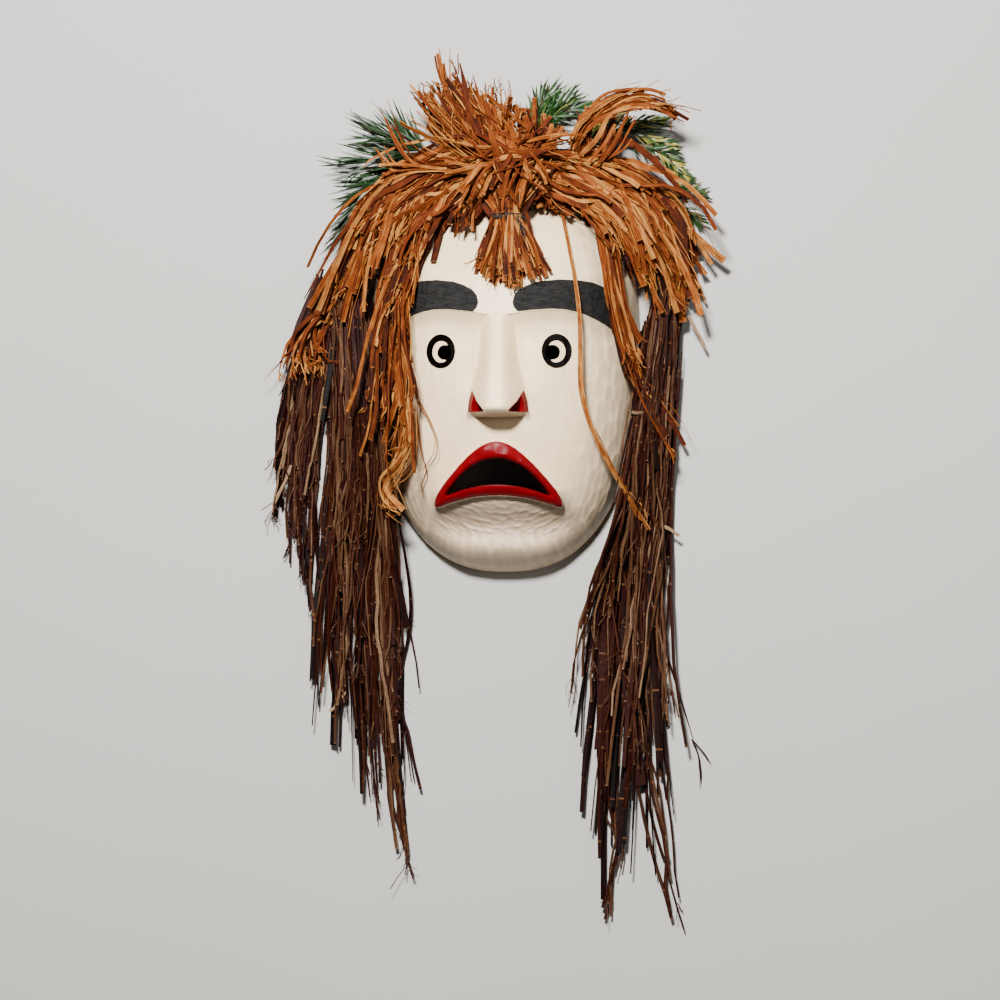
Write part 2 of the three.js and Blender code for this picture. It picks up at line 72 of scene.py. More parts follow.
# Depths of the soft carving, and height of the ball of the chin.
SOCKET_DEPTH = 2.2
NOSE_SIDE_DEPTH = 2.5
CHIN_DEPTH = 10.0
CHIN_BALL = 4.0
# Lower edge of the brows at its highest point, how far that point is from the nose line, and the nose tip.
BROW_EDGE = 28.8
BROW_PEAK = 48.0
NOSE_TIP = -52.0
# Heights and half widths of the lips and of the open mouth, which sits a little off the nose line.
LIP_TOP = -79.4
LIP_BOTTOM = -126.0
LIP_REACH = 54.8
MOUTH_TOP = -96.0
MOUTH_BOTTOM = -116.4
MOUTH_REACH = 44.0
MOUTH_MIDDLE = -1.8
# Middle and radius of the pupil, and corners of the nostril, on the viewer's right.
PUPIL = (45.0, -6.0, 5.8)
NOSTRIL = [(21.5, -38.5), (17.2, -47.2), (10.4, -55.6), (18, -55.9), (25.0, -55.4), (23.8, -46.5)]
# Middle of the crown bundle, middle of the forelock's tie, and the free end of its thread.
BUNDLE = (8.0, 157.0, 45.0)
TIE = (8.0, 108.0, 81.5)
THREAD_END = [(14, 107, 91), (20, 98, 96), (22, 88, 100)]
BAND_RADIUS = 6.9
# Thickness of loose fibres, and how a single strip is laid: just along its guide.
FINE = (0.3, 0.5)
ALONE = {"count": 1, "spread": 0.1, "lift": (0, 1)}
# Least height over the floor of a strip's middle and of its edges.
FLOOR_GAP = 0.7
EDGE_GAP = 0.05


# Colours and settings


def linear(code):
    """An sRGB hex colour as linear red, green, blue and alpha."""
    parts = [int(code[i : i + 2], 16) / 255 for i in (0, 2, 4)]
    return [c / 12.92 if c <= 0.04045 else ((c + 0.055) / 1.055) ** 2.4 for c in parts] + [1.0]


def colour(name, description, code):
    look = {"default": linear(code), "size": 4, "min": 0, "max": 1, "subtype": "COLOR"}
    return bpy.props.FloatVectorProperty(name=name, description=description, **look)


def length(name, description, default):
    look = {"default": default, "min": 0, "unit": "LENGTH", "subtype": "DISTANCE"}
    return bpy.props.FloatProperty(name=name, description=description, **look)


def amount(name, description, default, most=1000):
    return bpy.props.FloatProperty(name=name, description=description, default=default, min=0, max=most)


def spot(name, description, default):
    look = {"default": default, "unit": "LENGTH", "subtype": "TRANSLATION"}
    return bpy.props.FloatVectorProperty(name=name, description=description, **look)


class CarvingSettings(bpy.types.PropertyGroup):
    """Sizes of the carved block and of the knife marks on it."""

    half_width: length("Half width", "From the nose line to the side rim", 0.115)
    above: length("Above", "From the widest line to the crown rim", FACE_ABOVE)
    below: length("Below", "From the widest line to the chin rim", FACE_BELOW)
    depth: length("Depth", "Height of the dome over the rim", 0.098)
    wall: length("Wall", "Thickness of the wood", 0.010)
    brow_step: length("Brow step", "How far the brow stands over the eye socket", 0.008)
    nose_rise: length("Nose rise", "Height of the nose tip over the cheek", 0.033)
    lip_height: length("Lip height", "Height of the lips over the face", 0.007)
    mark_length: length("Mark length", "Length of one knife mark", 0.015)
    mark_width: length("Mark width", "Width of one knife mark", 0.0075)
    mark_depth: length("Mark depth", "Depth of a strong knife mark", 0.0022)


class PaintSettings(bpy.types.PropertyGroup):
    """Colours of the painted wood."""

    white: colour("White", "Ground paint of the face", "f6dab0")
    cream: colour("Cream", "Thinner streaks of the ground paint", "e9c797")
    # Also the colour of the painted shade under the nose and under the lip.
    grey_and_shade: colour("Worn white", "Ground paint in the deeper knife marks", "98836f")
    charcoal: colour("Charcoal", "Brows", "0c0b0a")
    charcoal_worn: colour("Worn charcoal", "Brushed streaks in the brows", "262422")
    black: colour("Black", "Eye rings", "030201")
    red: colour("Red", "Lips and nostrils", "740009")
    red_deep: colour("Deep red", "Cloudy places in the red", "540007")
    # The throat colour is near black on the walls of the mouth, and painted shade on the inner slope of the
    # upper lip.
    throat_and_lip_shade: colour("Throat", "Walls of the mouth and inner edge of the upper lip", "0c0303")
    inside: colour("Bare wood", "Unpainted hollow behind the face, brown with age", "70492c")
    inside_dark: colour("Bare wood, dark grain", "Late wood lines in the hollow", "452a18")


class BarkSettings(bpy.types.PropertyGroup):
    """Colours and amount of the bark strips."""

    orange_deep: colour("Deep orange", "Dark side of the shredded bark", "1d0802")
    orange: colour("Orange", "Middle tone of the shredded bark", "501d04")
    orange_light: colour("Light orange", "Lit fibres of the shredded bark", "783b0e")
    orange_pale: colour("Pale", "Torn ends and inner face", "a57038")
    red_brown: colour("Red brown", "Inner side of the long dark strips", "1d0301")
    middle_brown: colour("Middle brown", "Middle tone of the long dark strips", "2c0d02")
    grey_brown: colour("Grey brown", "Weathered side of the long dark strips", "4f3521")
    deep_brown: colour("Deep brown", "Darkest of the long strips", "050100")
    ring: colour("Node ring", "Light rings across the long strips", "643f24")
    cut: colour("Cut end", "Pale wood where a strip is cut", "82684e")
    thread: colour("Thread", "Tie around the forelock", "140b08")
    thread_light: colour("Light thread", "Raised plies of the thread", "2a1a12")
    fullness: amount("Fullness", "Share of the strips that are laid", 1.0, 1.5)


class GreenSettings(bpy.types.PropertyGroup):
    """Colours and sizes of the conifer sprigs."""

    needle: colour("Needle", "Upper side of the needles", "10290f")
    needle_light: colour("Light needle", "Younger needles", "2d4c1d")
    needle_root: colour("Needle root", "Where a needle leaves its twig", "455020")
    bud: colour("Bud", "Yellow buds and tips", "8d8236")
    twig: colour("Twig", "Bark of the twigs", "3a2413")
    needle_width: length("Needle width", "Width of one needle", 0.0016)


class StudioSettings(bpy.types.PropertyGroup):
    """Floor, lamps and camera."""

    floor: colour("Floor", "Pale studio floor", "b4b0aa")
    floor_shade: colour("Floor shade", "Barely darker places of the floor", "aeaaa4")
    sky_light: colour("Sky light", "Colour of the even light all round", "fbfaf8")
    sky: amount("Sky", "Strength of the even light all round", 0.07)
    key_power: amount("Key power", "Watts of the main soft lamp", 128)
    fill_power: amount("Fill power", "Watts of the weaker soft lamp", 4)
    lens: amount("Lens", "Focal length in millimetres", 112.6)
    camera: spot("Camera", "Place of the camera", (0.1909, -0.0109, 2.69))
    aim: spot("Aim", "Point that the camera looks at", (0.0029, -0.0109, 0.0))


class MaskSettings(bpy.types.PropertyGroup):
    """All settings of the mask."""

    carving: bpy.props.PointerProperty(type=CarvingSettings)
    paint: bpy.props.PointerProperty(type=PaintSettings)
    bark: bpy.props.PointerProperty(type=BarkSettings)
    green: bpy.props.PointerProperty(type=GreenSettings)
    studio: bpy.props.PointerProperty(type=StudioSettings)


# The mask's form


def mix(a, b, share):
    return a + (b - a) * share


def smooth(start, end, value):
    t = np.clip((value - start) / (end - start), 0, 1)
    return t * t * (3 - 2 * t)


def squareness(y):
    return np.where(y > 0, CROWN_POWER, CHIN_POWER)


class Form:
    """The carved dome and the layers of hair over it, all in millimetres."""

    def __init__(self, sizes, inset=0.0):
        self.half_width = sizes.half_width * 1000 - inset
        self.above = sizes.above * 1000 - inset
        self.below = sizes.below * 1000 - inset
        self.depth = sizes.depth * 1000 - (inset + 2 if inset else 0)
        self.brow_step = sizes.brow_step * 1000
        self.nose_rise = sizes.nose_rise * 1000

    def share(self, x, y):
        """0 in the middle of the face and 1 on the rim."""
        power = squareness(y)
        reach = np.where(y > 0, self.above, self.below)
        return (np.abs(x / self.half_width) ** power + np.abs(y / reach) ** power) ** (1 / power)

    def half_width_at(self, y):
        power = squareness(y)
        reach = np.where(y > 0, self.above, self.below)
        return self.half_width * np.clip(1 - np.abs(y / reach) ** power, 0, 1) ** (1 / power)

    def dome(self, x, y):
        return self.depth * (1 - np.minimum(1, self.share(x, y)) ** DOME_POWER) ** (1 / DOME_POWER)

    def hollows(self, x, y):
        """Soft carving: under each brow, beside the nose and under the lip, and the ball of the chin."""
        under = brow_line(x) - y
        side = np.abs(x)
        socket = SOCKET_DEPTH * smooth(0, 12, under) * (1 - smooth(14, 44, under))
        socket = socket * (1 - smooth(80, 104, side))
        beside = NOSE_SIDE_DEPTH * np.exp(-(((side - 22) / 12) ** 2))
        beside = beside * smooth(24, 0, y) * smooth(-44, -20, y)
        chin = CHIN_DEPTH * np.exp(-(((y + 150) / 14) ** 2)) * (1 - smooth(34, 74, side))
        ball = CHIN_BALL * np.exp(-(((y + 171) / 12) ** 2)) * (1 - smooth(30, 74, side))
        return (socket + beside + chin) * (1 - smooth(0.85, 0.97, self.share(x, y))) - ball

    def cheek(self, x, y):
        return self.dome(x, y) - self.hollows(x, y)

    def forehead(self, x, y):
        """The forehead and brows stand proud of the sockets and run out into the temples."""
        fade = (1 - smooth(74, 112, np.abs(x))) * (1 - 0.9 * smooth(50, 128, y))
        return self.dome(x, y) + np.maximum(0, (self.brow_step + 1) * fade - 1)

    def ledge(self, x, y):
        """The brow's underside curves down into the eye socket."""
        under = np.maximum(0, brow_line(x) - y)
        return (self.brow_step - 1) * (1 - smooth(74, 112, np.abs(x))) * np.exp(-under / 8)

    def nose(self, x, y):
        """Height of the nose over the cheek."""
        down = np.clip((BROW_EDGE - y) / (BROW_EDGE - NOSE_TIP), 0, 1)
        rise = mix(self.brow_step, self.nose_rise, down**1.2)
        rise = rise - 3.2 * np.clip((NOSE_TIP - y) / 4.3, 0, 1.3) ** 2
        flat = mix(5.0, 8.0, smooth(0.45, 1, down))
        foot = 16 + 10 * smooth(0.3, 1, down) ** 1.3
        out = np.clip((np.abs(x) - 0.55 * flat) / (foot - 0.55 * flat), 0, 1)
        return rise * (1 - out**1.9) ** 1.5

    def hill(self, x, y):
        """A hill that covers the mask closely and runs out to the floor around it."""
        return self.depth * (1 - smooth(0.35, 1.45, self.share(x, y)))

    def over(self, x, y):
        """The layer of the orange hair, over the mask's crown and sides."""
        outside = smooth(0.9, 1.3, self.share(x, y)) * mix(5, 12, smooth(60, 110, y))
        return self.hill(x, y) + 17 + outside

    def beside(self, x, y):
        """The layer of the long side hair."""
        return self.hill(x, y) + 2.7 + 1.6 * smooth(1.5, 0.8, self.share(x, y))


def flat_layer(x, y):
    return np.zeros_like(x)


def brow_line(x):
    aside = np.abs(x) - BROW_PEAK
    return BROW_EDGE - np.where(aside > 0, 0.0075, 0.0026) * aside**2


def lip_edges(x):
    """The tent-shaped upper edge and the arched lower edge of the lips, which meet in round corners."""
    upper = LIP_TOP - 1.45 * (np.hypot(x, 30) - 30)
    lower = LIP_BOTTOM - 0.0041 * x**2
    half = (upper - lower) / 2 * np.sqrt(1 - np.minimum(1, np.abs(x / LIP_REACH)) ** 24)
    return (upper + lower) / 2 + half, (upper + lower) / 2 - half


def mouth_edges(x):
    """The upper and lower edge of the open mouth."""
    lower = MOUTH_BOTTOM - 0.005 * x**2
    return np.maximum(lower, MOUTH_TOP - 31.5 * np.abs(x / MOUTH_REACH) ** 2.2), lower


def edge_loop(edges, reach, count):
    """A closed outline through an upper and a lower edge."""
    turn = np.linspace(0, 2 * math.pi, count, endpoint=False)
    upper, lower = edges(reach * np.cos(turn))
    return np.stack([MOUTH_MIDDLE + reach * np.cos(turn), np.where(np.sin(turn) > 0, upper, lower)], 1)


def scatter(i, j, seed):
    """An even scatter from 0 to 1 for each cell of a grid."""
    wave = np.sin(i * 127.1 + j * 311.7 + seed * 74.7) * 43758.5453
    return wave - np.floor(wave)


def knife_marks(u, v, seed):
    """0 in the middle of each scoop in a grid of uneven cells, rising to about 1 on the ridges between."""
    column = np.floor(u)
    row = np.floor(v)
    nearest = np.full(u.shape, 9.0)
    for i in (-1, 0, 1):
        for j in (-1, 0, 1):
            middle_u = column + i + 0.15 + 0.7 * scatter(column + i, row + j, seed)
            middle_v = row + j + 0.15 + 0.7 * scatter(column + i, row + j, seed + 5)
            nearest = np.minimum(nearest, (u - middle_u) ** 2 + (v - middle_v) ** 2)
    return np.minimum(nearest, 1.2)


def outline_distance(x, y, outline):
    """Distance in millimetres to a closed outline, negative inside it."""
    points = np.array(outline, float)
    nearest = np.full(x.shape, 1e9)
    inside = np.zeros(x.shape, bool)
    for a, b in zip(points, np.roll(points, -1, 0)):
        edge = b - a
        along = np.clip(((x - a[0]) * edge[0] + (y - a[1]) * edge[1]) / (edge @ edge + 1e-12), 0, 1)
        nearest = np.minimum(nearest, (x - a[0] - along * edge[0]) ** 2 + (y - a[1] - along * edge[1]) ** 2)
        if a[1] != b[1]:
            crosses = (a[1] > y) != (b[1] > y)
            inside ^= crosses & (x < edge[0] * (y - a[1]) / edge[1] + a[0])
    return np.where(inside, -1, 1) * np.sqrt(nearest)


# Objects and meshes


def metres(points):
    return np.asarray(points, float) / 1000 + PLACE


def clear_selection():
    if bpy.context.mode != "OBJECT":
        bpy.ops.object.mode_set(mode="OBJECT")
    bpy.ops.object.select_all(action="DESELECT")


def only(piece):
    """Makes one object the only selected and active one."""
    clear_selection()
    piece.select_set(True)
    bpy.context.view_layer.objects.active = piece


def added(name):
    """Names the object that an operator has just added."""
    piece = bpy.context.active_object
    piece.name = name
    piece.data.name = name
    return piece


def piece_of(name, mesh):
    """A new object of a finished mesh, selected and active."""
    piece = bpy.data.objects.new(name, mesh)
    bpy.context.collection.objects.link(piece)
    only(piece)
    return piece


def points_of(mesh):
    flat = np.empty(len(mesh.vertices) * 3)
    mesh.vertices.foreach_get("co", flat)
    return flat.reshape(-1, 3)


def set_points(mesh, points):
    mesh.vertices.foreach_set("co", np.asarray(points, np.float32).ravel())
    mesh.update()


def combine(piece, other, operation):
    """Joins another closed solid to the piece, or cuts it out, and removes the other."""
    only(piece)
    modifier = piece.modifiers.new("Boolean", "BOOLEAN")
    modifier.operation = operation
    modifier.solver = "MANIFOLD"
    modifier.object = other
    bpy.ops.object.modifier_apply(modifier=modifier.name)
    bpy.data.objects.remove(other)


def point_values(mesh, name, values):
    attribute = mesh.attributes.new(name, "FLOAT", "POINT")
    attribute.data.foreach_set("value", np.asarray(values, np.float32))


def point_vectors(mesh, name, values):
    attribute = mesh.attributes.new(name, "FLOAT_VECTOR", "POINT")
    attribute.data.foreach_set("vector", np.asarray(values, np.float32).ravel())


def place_piece(piece, nodes, slot):
    """Gives the piece its finish, puts it on the object and hides the plain solids that it stands for."""
    piece.data.materials.clear()
    piece.data.materials.append(finish_for(slot))
    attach(piece, "root")
    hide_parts(*nodes)


# Materials


def fill_inputs(tree, node, inputs):
    """Sets or links a node's inputs, by name or in their order."""
    in_order = [socket for socket in node.inputs if socket.enabled]
    for place, value in inputs.items() if isinstance(inputs, dict) else enumerate(inputs):
        socket = node.inputs[place] if isinstance(place, str) else in_order[place]
        if isinstance(value, bpy.types.NodeSocket):
            tree.links.new(value, socket)
        else:
            socket.default_value = value


def add_node(tree, kind, inputs=(), output=0, stops=(), **settings):
    """Adds a node with its settings, links and colour stops, and gives the output that is asked for."""
    node = tree.nodes.new("ShaderNode" + kind)
    for name, value in settings.items():
        setattr(node, name, value)
    for number, (place, tone) in enumerate(stops):
        elements = node.color_ramp.elements
        element = elements[number] if number < 2 else elements.new(place)
        element.position = place
        element.color = tone
    fill_inputs(tree, node, inputs)
    in_order = [socket for socket in node.outputs if socket.enabled]
    return node.outputs[output] if isinstance(output, str) else in_order[output]


def new_material(name):
    material = bpy.data.materials.new(name)
    material.use_nodes = True
    surface = next(node for node in material.node_tree.nodes if node.type == "BSDF_PRINCIPLED")
    return material, material.node_tree, surface


def painted_cedar(paint):
    """Knife-carved cedar under brushed satin oil paint: the eye sees faint brush streaks along the face,
    soft gloss on the ridges, shinier red on the lips, and bare gouged wood behind."""
    material, tree, surface = new_material("painted_cedar")
    place = add_node(tree, "TexCoord", output="Object")
    # Brush hairs leave streaks about 0.7 mm apart, drawn at 1.6 mm so that they show.
    upright = add_node(tree, "Mapping", {"Vector": place, "Scale": (14, 1, 14)})
    rough = {"Detail": 3, "Roughness": 0.6}
    streaks = add_node(tree, "TexNoise", {"Vector": upright, "Scale": 1 / 0.022, **rough})
    clouds = add_node(tree, "TexNoise", {"Vector": place, "Scale": 1 / 0.035, "Detail": 2})
    fine = add_node(tree, "TexNoise", {"Vector": place, "Scale": 1 / 0.0006, "Detail": 2})
    thin = add_node(tree, "MapRange", [streaks, 0.4, 0.8, 0, 0.9])
    ground = add_node(tree, "Mix", [thin, paint.white, paint.cream], data_type="RGBA")
    # Greyer in cloudy places and in the deeper knife marks, with painted shade under the nose and under the
    # lip.
    mark_and_shade = add_node(tree, "Attribute", output="Fac", attribute_name="mark_and_shade")
    grey_and_shade = add_node(tree, "Math", [clouds, 0.5, mark_and_shade], operation="MULTIPLY_ADD")
    grey_and_shade = add_node(tree, "MapRange", [grey_and_shade, 0.3, 1.7, 0, 0.8])
    ground = add_node(tree, "Mix", [grey_and_shade, ground, paint.grey_and_shade], data_type="RGBA")

    # Hairs of the brush cross the brows, and late wood lines show in the bare hollow.
    sideways = add_node(tree, "Mapping", {"Vector": place, "Scale": (1, 6, 6)})
    hairs = {"Vector": sideways, "Scale": 1 / 0.013, "Detail": 4, "Roughness": 0.65}
    brushed = add_node(tree, "TexNoise", hairs)
    brushed = add_node(tree, "MapRange", [brushed, 0.4, 0.75, 0, 1])
    charcoal = add_node(tree, "Mix", [brushed, paint.charcoal, paint.charcoal_worn], data_type="RGBA")
    grain = add_node(tree, "TexNoise", {"Vector": upright, "Scale": 1 / 0.05, **rough})
    bare = add_node(tree, "ValToRGB", [grain], stops=[(0.32, paint.inside_dark), (0.6, paint.inside)])
    red = add_node(tree, "Mix", [clouds, paint.red, paint.red_deep], data_type="RGBA")

    # Each painted area is 1 inside and 0 outside its edge, which wavers by about a quarter of a millimetre.
    waver = add_node(tree, "TexNoise", {"Vector": place, "Scale": 1 / 0.004, "Detail": 2})
    waver = add_node(tree, "MapRange", [waver, 0, 1, -0.35, 0.35])
    tone = ground
    areas = {}
    for name, paint_tone, edge in (
        ("brow_mm", charcoal, 0.25),
        ("eye_mm", paint.black, 0.25),
        ("red_mm", red, 0.25),
        # Near black in the mouth, and painted shade on the upper lip's inner slope.
        ("throat_and_lip_shade_mm", paint.throat_and_lip_shade, 4.5),
        ("hollow_mm", bare, 1.0),
    ):
        distance = add_node(tree, "Attribute", output="Fac", attribute_name=name)
        distance = add_node(tree, "Math", [distance, waver], operation="ADD")
        areas[name] = add_node(tree, "MapRange", [distance, -edge / 2, edge / 2, 1, 0])
        tone = add_node(tree, "Mix", [areas[name], tone, paint_tone], data_type="RGBA")

    # Satin white, glossier red and black, and matt charcoal and bare wood.
    shiny = add_node(tree, "Math", [areas["red_mm"], 0.5, areas["eye_mm"]], operation="MULTIPLY_ADD")
    matt = add_node(tree, "Math", [areas["hollow_mm"], areas["brow_mm"]], operation="MAXIMUM")
    gloss = add_node(tree, "Math", [streaks, 0.16, 0.4], operation="MULTIPLY_ADD")
    gloss = add_node(tree, "Math", [shiny, -0.3, gloss], operation="MULTIPLY_ADD")
    gloss = add_node(tree, "Math", [matt, 0.32, gloss], operation="MULTIPLY_ADD", use_clamp=True)
    dark = add_node(tree, "Math", [areas["brow_mm"], areas["eye_mm"]], operation="MAXIMUM")
    sheen = add_node(tree, "Math", [areas["red_mm"], -0.37, 0.5], operation="MULTIPLY_ADD")
    sheen = add_node(tree, "Math", [dark, -0.26, sheen], operation="MULTIPLY_ADD")
    height = add_node(tree, "Math", [fine, 0.4, streaks], operation="MULTIPLY_ADD")
    bump = add_node(tree, "Bump", {"Strength": 0.3, "Distance": 0.0002, "Height": height})
    fill_inputs(tree, surface, {"Base Color": tone, "Roughness": gloss, "Normal": bump})
    fill_inputs(tree, surface, {"IOR": 1.4, "Specular IOR Level": sheen})
    return material


def shredded_bark(bark):
    """Dry inner bark of cedar, torn in strips: matt and fibrous, orange-brown with darker and paler fibres,
    and pale where it is torn across."""
    material, tree, surface = new_material("shredded_cedar_bark")
    grain = add_node(tree, "Attribute", output="Vector", attribute_name="grain")
    tone = add_node(tree, "Attribute", output="Fac", attribute_name="tone")
    to_tip = add_node(tree, "Attribute", output="Fac", attribute_name="to_tip")
    # Fibres about 1 mm apart, with finer ones between them, run along each strip.
    along = add_node(tree, "Mapping", {"Vector": grain, "Scale": (24, 1, 1)})
    fibres = {"Vector": along, "Scale": 1 / 0.026, "Detail": 4, "Roughness": 0.7}
    fibres = add_node(tree, "TexNoise", fibres)
    blotches = add_node(tree, "TexNoise", {"Vector": grain, "Scale": 1 / 0.009, "Detail": 2})
    level = add_node(tree, "MapRange", [fibres, 0.3, 0.7, -0.3, 0.3])
    level = add_node(tree, "Math", [tone, level], operation="ADD")
    level = add_node(tree, "Math", [blotches, 0.5, level], operation="MULTIPLY_ADD")
    level = add_node(tree, "Math", [level, 0.25], operation="SUBTRACT", use_clamp=True)
    stops = [(0.05, bark.orange_deep), (0.42, bark.orange)]
    stops += [(0.72, bark.orange_light), (0.98, bark.orange_pale)]
    base = add_node(tree, "ValToRGB", [level], stops=stops)
    near_tip = add_node(tree, "MapRange", [to_tip, 0, 1.5, 0.3, 0])
    base = add_node(tree, "Mix", [near_tip, base, bark.orange_pale], data_type="RGBA")
    bump = add_node(tree, "Bump", {"Strength": 0.9, "Distance": 0.0006, "Height": fibres})
    fill_inputs(tree, surface, {"Base Color": base, "Roughness": 0.8, "Normal": bump})
    fill_inputs(tree, surface, {"IOR": 1.45, "Specular IOR Level": 0.14})
    return material


def ringed_bark(bark):
    """Long strips of smooth outer bark and thin twigs: low sheen, red-brown to weathered grey, with a light
    ring at each node and pale cut ends."""
    material, tree, surface = new_material("ringed_outer_bark")
    grain = add_node(tree, "Attribute", output="Vector", attribute_name="grain")
    tone = add_node(tree, "Attribute", output="Fac", attribute_name="tone")
    from_root = add_node(tree, "Attribute", output="Fac", attribute_name="from_root")
    to_tip = add_node(tree, "Attribute", output="Fac", attribute_name="to_tip")
    ring_gap = add_node(tree, "Attribute", output="Fac", attribute_name="ring_gap")
    # Fibres about 1 mm apart run along each strip, and wrinkles as fine as they run across it.
    along = add_node(tree, "Mapping", {"Vector": grain, "Scale": (24, 1, 1)})
    fibres = {"Vector": along, "Scale": 1 / 0.026, "Detail": 4, "Roughness": 0.7}
    fibres = add_node(tree, "TexNoise", fibres)
    across = add_node(tree, "Mapping", {"Vector": grain, "Scale": (1, 9, 1)})
    wrinkles = add_node(tree, "TexNoise", {"Vector": across, "Scale": 1 / 0.01, "Detail": 2})
    blotches = add_node(tree, "TexNoise", {"Vector": grain, "Scale": 1 / 0.04, "Detail": 1})
    level = add_node(tree, "MapRange", [fibres, 0.3, 0.7, -0.22, 0.22])
    level = add_node(tree, "Math", [tone, level], operation="ADD")
    level = add_node(tree, "Math", [wrinkles, 0.3, level], operation="MULTIPLY_ADD")
    level = add_node(tree, "Math", [level, 0.8, -0.16], operation="MULTIPLY_ADD", use_clamp=True)
    stops = [(0.0, bark.deep_brown), (0.28, bark.red_brown), (0.5, bark.middle_brown)]
    stops += [(0.76, bark.grey_brown), (1.0, bark.cut)]
    base = add_node(tree, "ValToRGB", [level], stops=stops)
    # A ring crosses the whole strip once in every ring gap.
    shifted = add_node(tree, "Math", [tone, 60, from_root], operation="MULTIPLY_ADD")
    near = add_node(tree, "Math", [shifted, ring_gap], operation="PINGPONG")
    ring = add_node(tree, "MapRange", [near, 0.3, 1.1, 1, 0])
    strong = add_node(tree, "MapRange", [blotches, 0.42, 0.6, 0, 0.8])
    ring = add_node(tree, "Math", [ring, strong], operation="MULTIPLY")
    base = add_node(tree, "Mix", [ring, base, bark.ring], data_type="RGBA")
    # Only the lighter strips show a pale cut end.
    near_tip = add_node(tree, "MapRange", [to_tip, 0, 1, 0.8, 0])
    fresh = add_node(tree, "MapRange", [tone, 0.55, 0.7, 0, 1])
    near_tip = add_node(tree, "Math", [near_tip, fresh], operation="MULTIPLY")
    base = add_node(tree, "Mix", [near_tip, base, bark.cut], data_type="RGBA")
    rough = add_node(tree, "MapRange", [fibres, 0, 1, 0.42, 0.7])
    height = add_node(tree, "Math", [wrinkles, 0.5, fibres], operation="MULTIPLY_ADD")
    height = add_node(tree, "Math", [ring, 0.6, height], operation="MULTIPLY_ADD")
    bump = add_node(tree, "Bump", {"Strength": 0.8, "Distance": 0.0005, "Height": height})
    fill_inputs(tree, surface, {"Base Color": base, "Roughness": rough, "Normal": bump})
    fill_inputs(tree, surface, {"IOR": 1.45, "Specular IOR Level": 0.12})
    return material


def conifer_foliage(green):
    """Waxy conifer needles on brown twigs: dark green above, lighter and yellow towards young tips."""
    material, tree, surface = new_material("conifer_needles")
    grain = add_node(tree, "Attribute", output="Vector", attribute_name="grain")
    tone = add_node(tree, "Attribute", output="Fac", attribute_name="tone")
    from_root = add_node(tree, "Attribute", output="Fac", attribute_name="from_root")
    along = add_node(tree, "Mapping", {"Vector": grain, "Scale": (20, 1, 1)})
    fibres = add_node(tree, "TexNoise", {"Vector": along, "Scale": 1 / 0.012, "Detail": 2})
    level = add_node(tree, "MapRange", [fibres, 0.3, 0.7, -0.07, 0.07])
    level = add_node(tree, "Math", [tone, level], operation="ADD", use_clamp=True)
    # Tones up to 0.1 are twigs.
    stops = [(0.0, green.twig), (0.1, green.twig), (0.2, green.needle)]
    stops += [(0.75, green.needle_light), (0.92, green.bud)]
    base = add_node(tree, "ValToRGB", [level], stops=stops)
    near_root = add_node(tree, "MapRange", [from_root, 0, 1.6, 0.8, 0])
    base = add_node(tree, "Mix", [near_root, base, green.needle_root], data_type="RGBA")
    bump = add_node(tree, "Bump", {"Strength": 0.4, "Distance": 0.0002, "Height": fibres})
    fill_inputs(tree, surface, {"Base Color": base, "Normal": bump, "Roughness": 0.42, "IOR": 1.45})
    return material


def spun_thread(bark):
    """Dark spun thread: matt, with its plies as fine slanting lines."""
    material, tree, surface = new_material("spun_thread")
    grain = add_node(tree, "Attribute", output="Vector", attribute_name="grain")
    # Plies are about 1 mm apart.
    wave = {"Vector": grain, "Scale": 260.0, "Distortion": 1.5}
    plies = add_node(tree, "TexWave", wave, output="Fac", bands_direction="DIAGONAL")
    base = add_node(tree, "Mix", [plies, bark.thread, bark.thread_light], data_type="RGBA")
    bump = add_node(tree, "Bump", {"Strength": 0.7, "Distance": 0.0002, "Height": plies})
    fill_inputs(tree, surface, {"Base Color": base, "Normal": bump, "Roughness": 0.85})
    return material


def studio_board(studio):
    """Matt pale studio board, with barely visible mottling."""
    material, tree, surface = new_material("studio_board")
    place = add_node(tree, "TexCoord", output="Object")
    clouds = add_node(tree, "TexNoise", {"Vector": place, "Scale": 2.5, "Detail": 2})
    tone = add_node(tree, "Mix", [clouds, studio.floor, studio.floor_shade], data_type="RGBA")
    fill_inputs(tree, surface, {"Base Color": tone, "Roughness": 0.85})
    return material


MAKERS = {
    "painted_wood": lambda look: painted_cedar(look.paint),
    "orange_bark": lambda look: shredded_bark(look.bark),
    "dark_bark": lambda look: ringed_bark(look.bark),
    "foliage": lambda look: conifer_foliage(look.green),
    "thread": lambda look: spun_thread(look.bark),
}
FINISHES = {}


def finish_for(slot):
    """The finish of a material slot, made the first time that it is asked for."""
    if slot not in FINISHES:
        FINISHES[slot] = MAKERS[slot](bpy.context.scene.mask)
    return FINISHES[slot]


# Carved face


def face_rows(form):
    """Rows of the face from chin to crown, each with its kind. Two close rows make each sharp step: foot
    and tip of the nose, and underside and edge of the brows."""
    # A property holds a size to seven digits, so it is rounded here.
    below, above = round(form.below, 3), round(form.above, 3)
    below_nose = math.asin(62 / below)
    chin = [(-below * math.sin(t), "cheek") for t in np.linspace(math.pi / 2, below_nose, 168)]
    cheeks = [(y, "cheek") for y in np.linspace(-54.5, BROW_EDGE - 1.2, 70)]
    ledge = [(BROW_EDGE, "under"), (BROW_EDGE, "edge"), (BROW_EDGE + 0.9, "forehead")]
    crown = [(above * math.sin(t), "forehead") for t in np.linspace(0.24, math.pi / 2, 84)]
    return chin + [(-60, "foot"), (-56, "tip")] + cheeks + ledge + crown


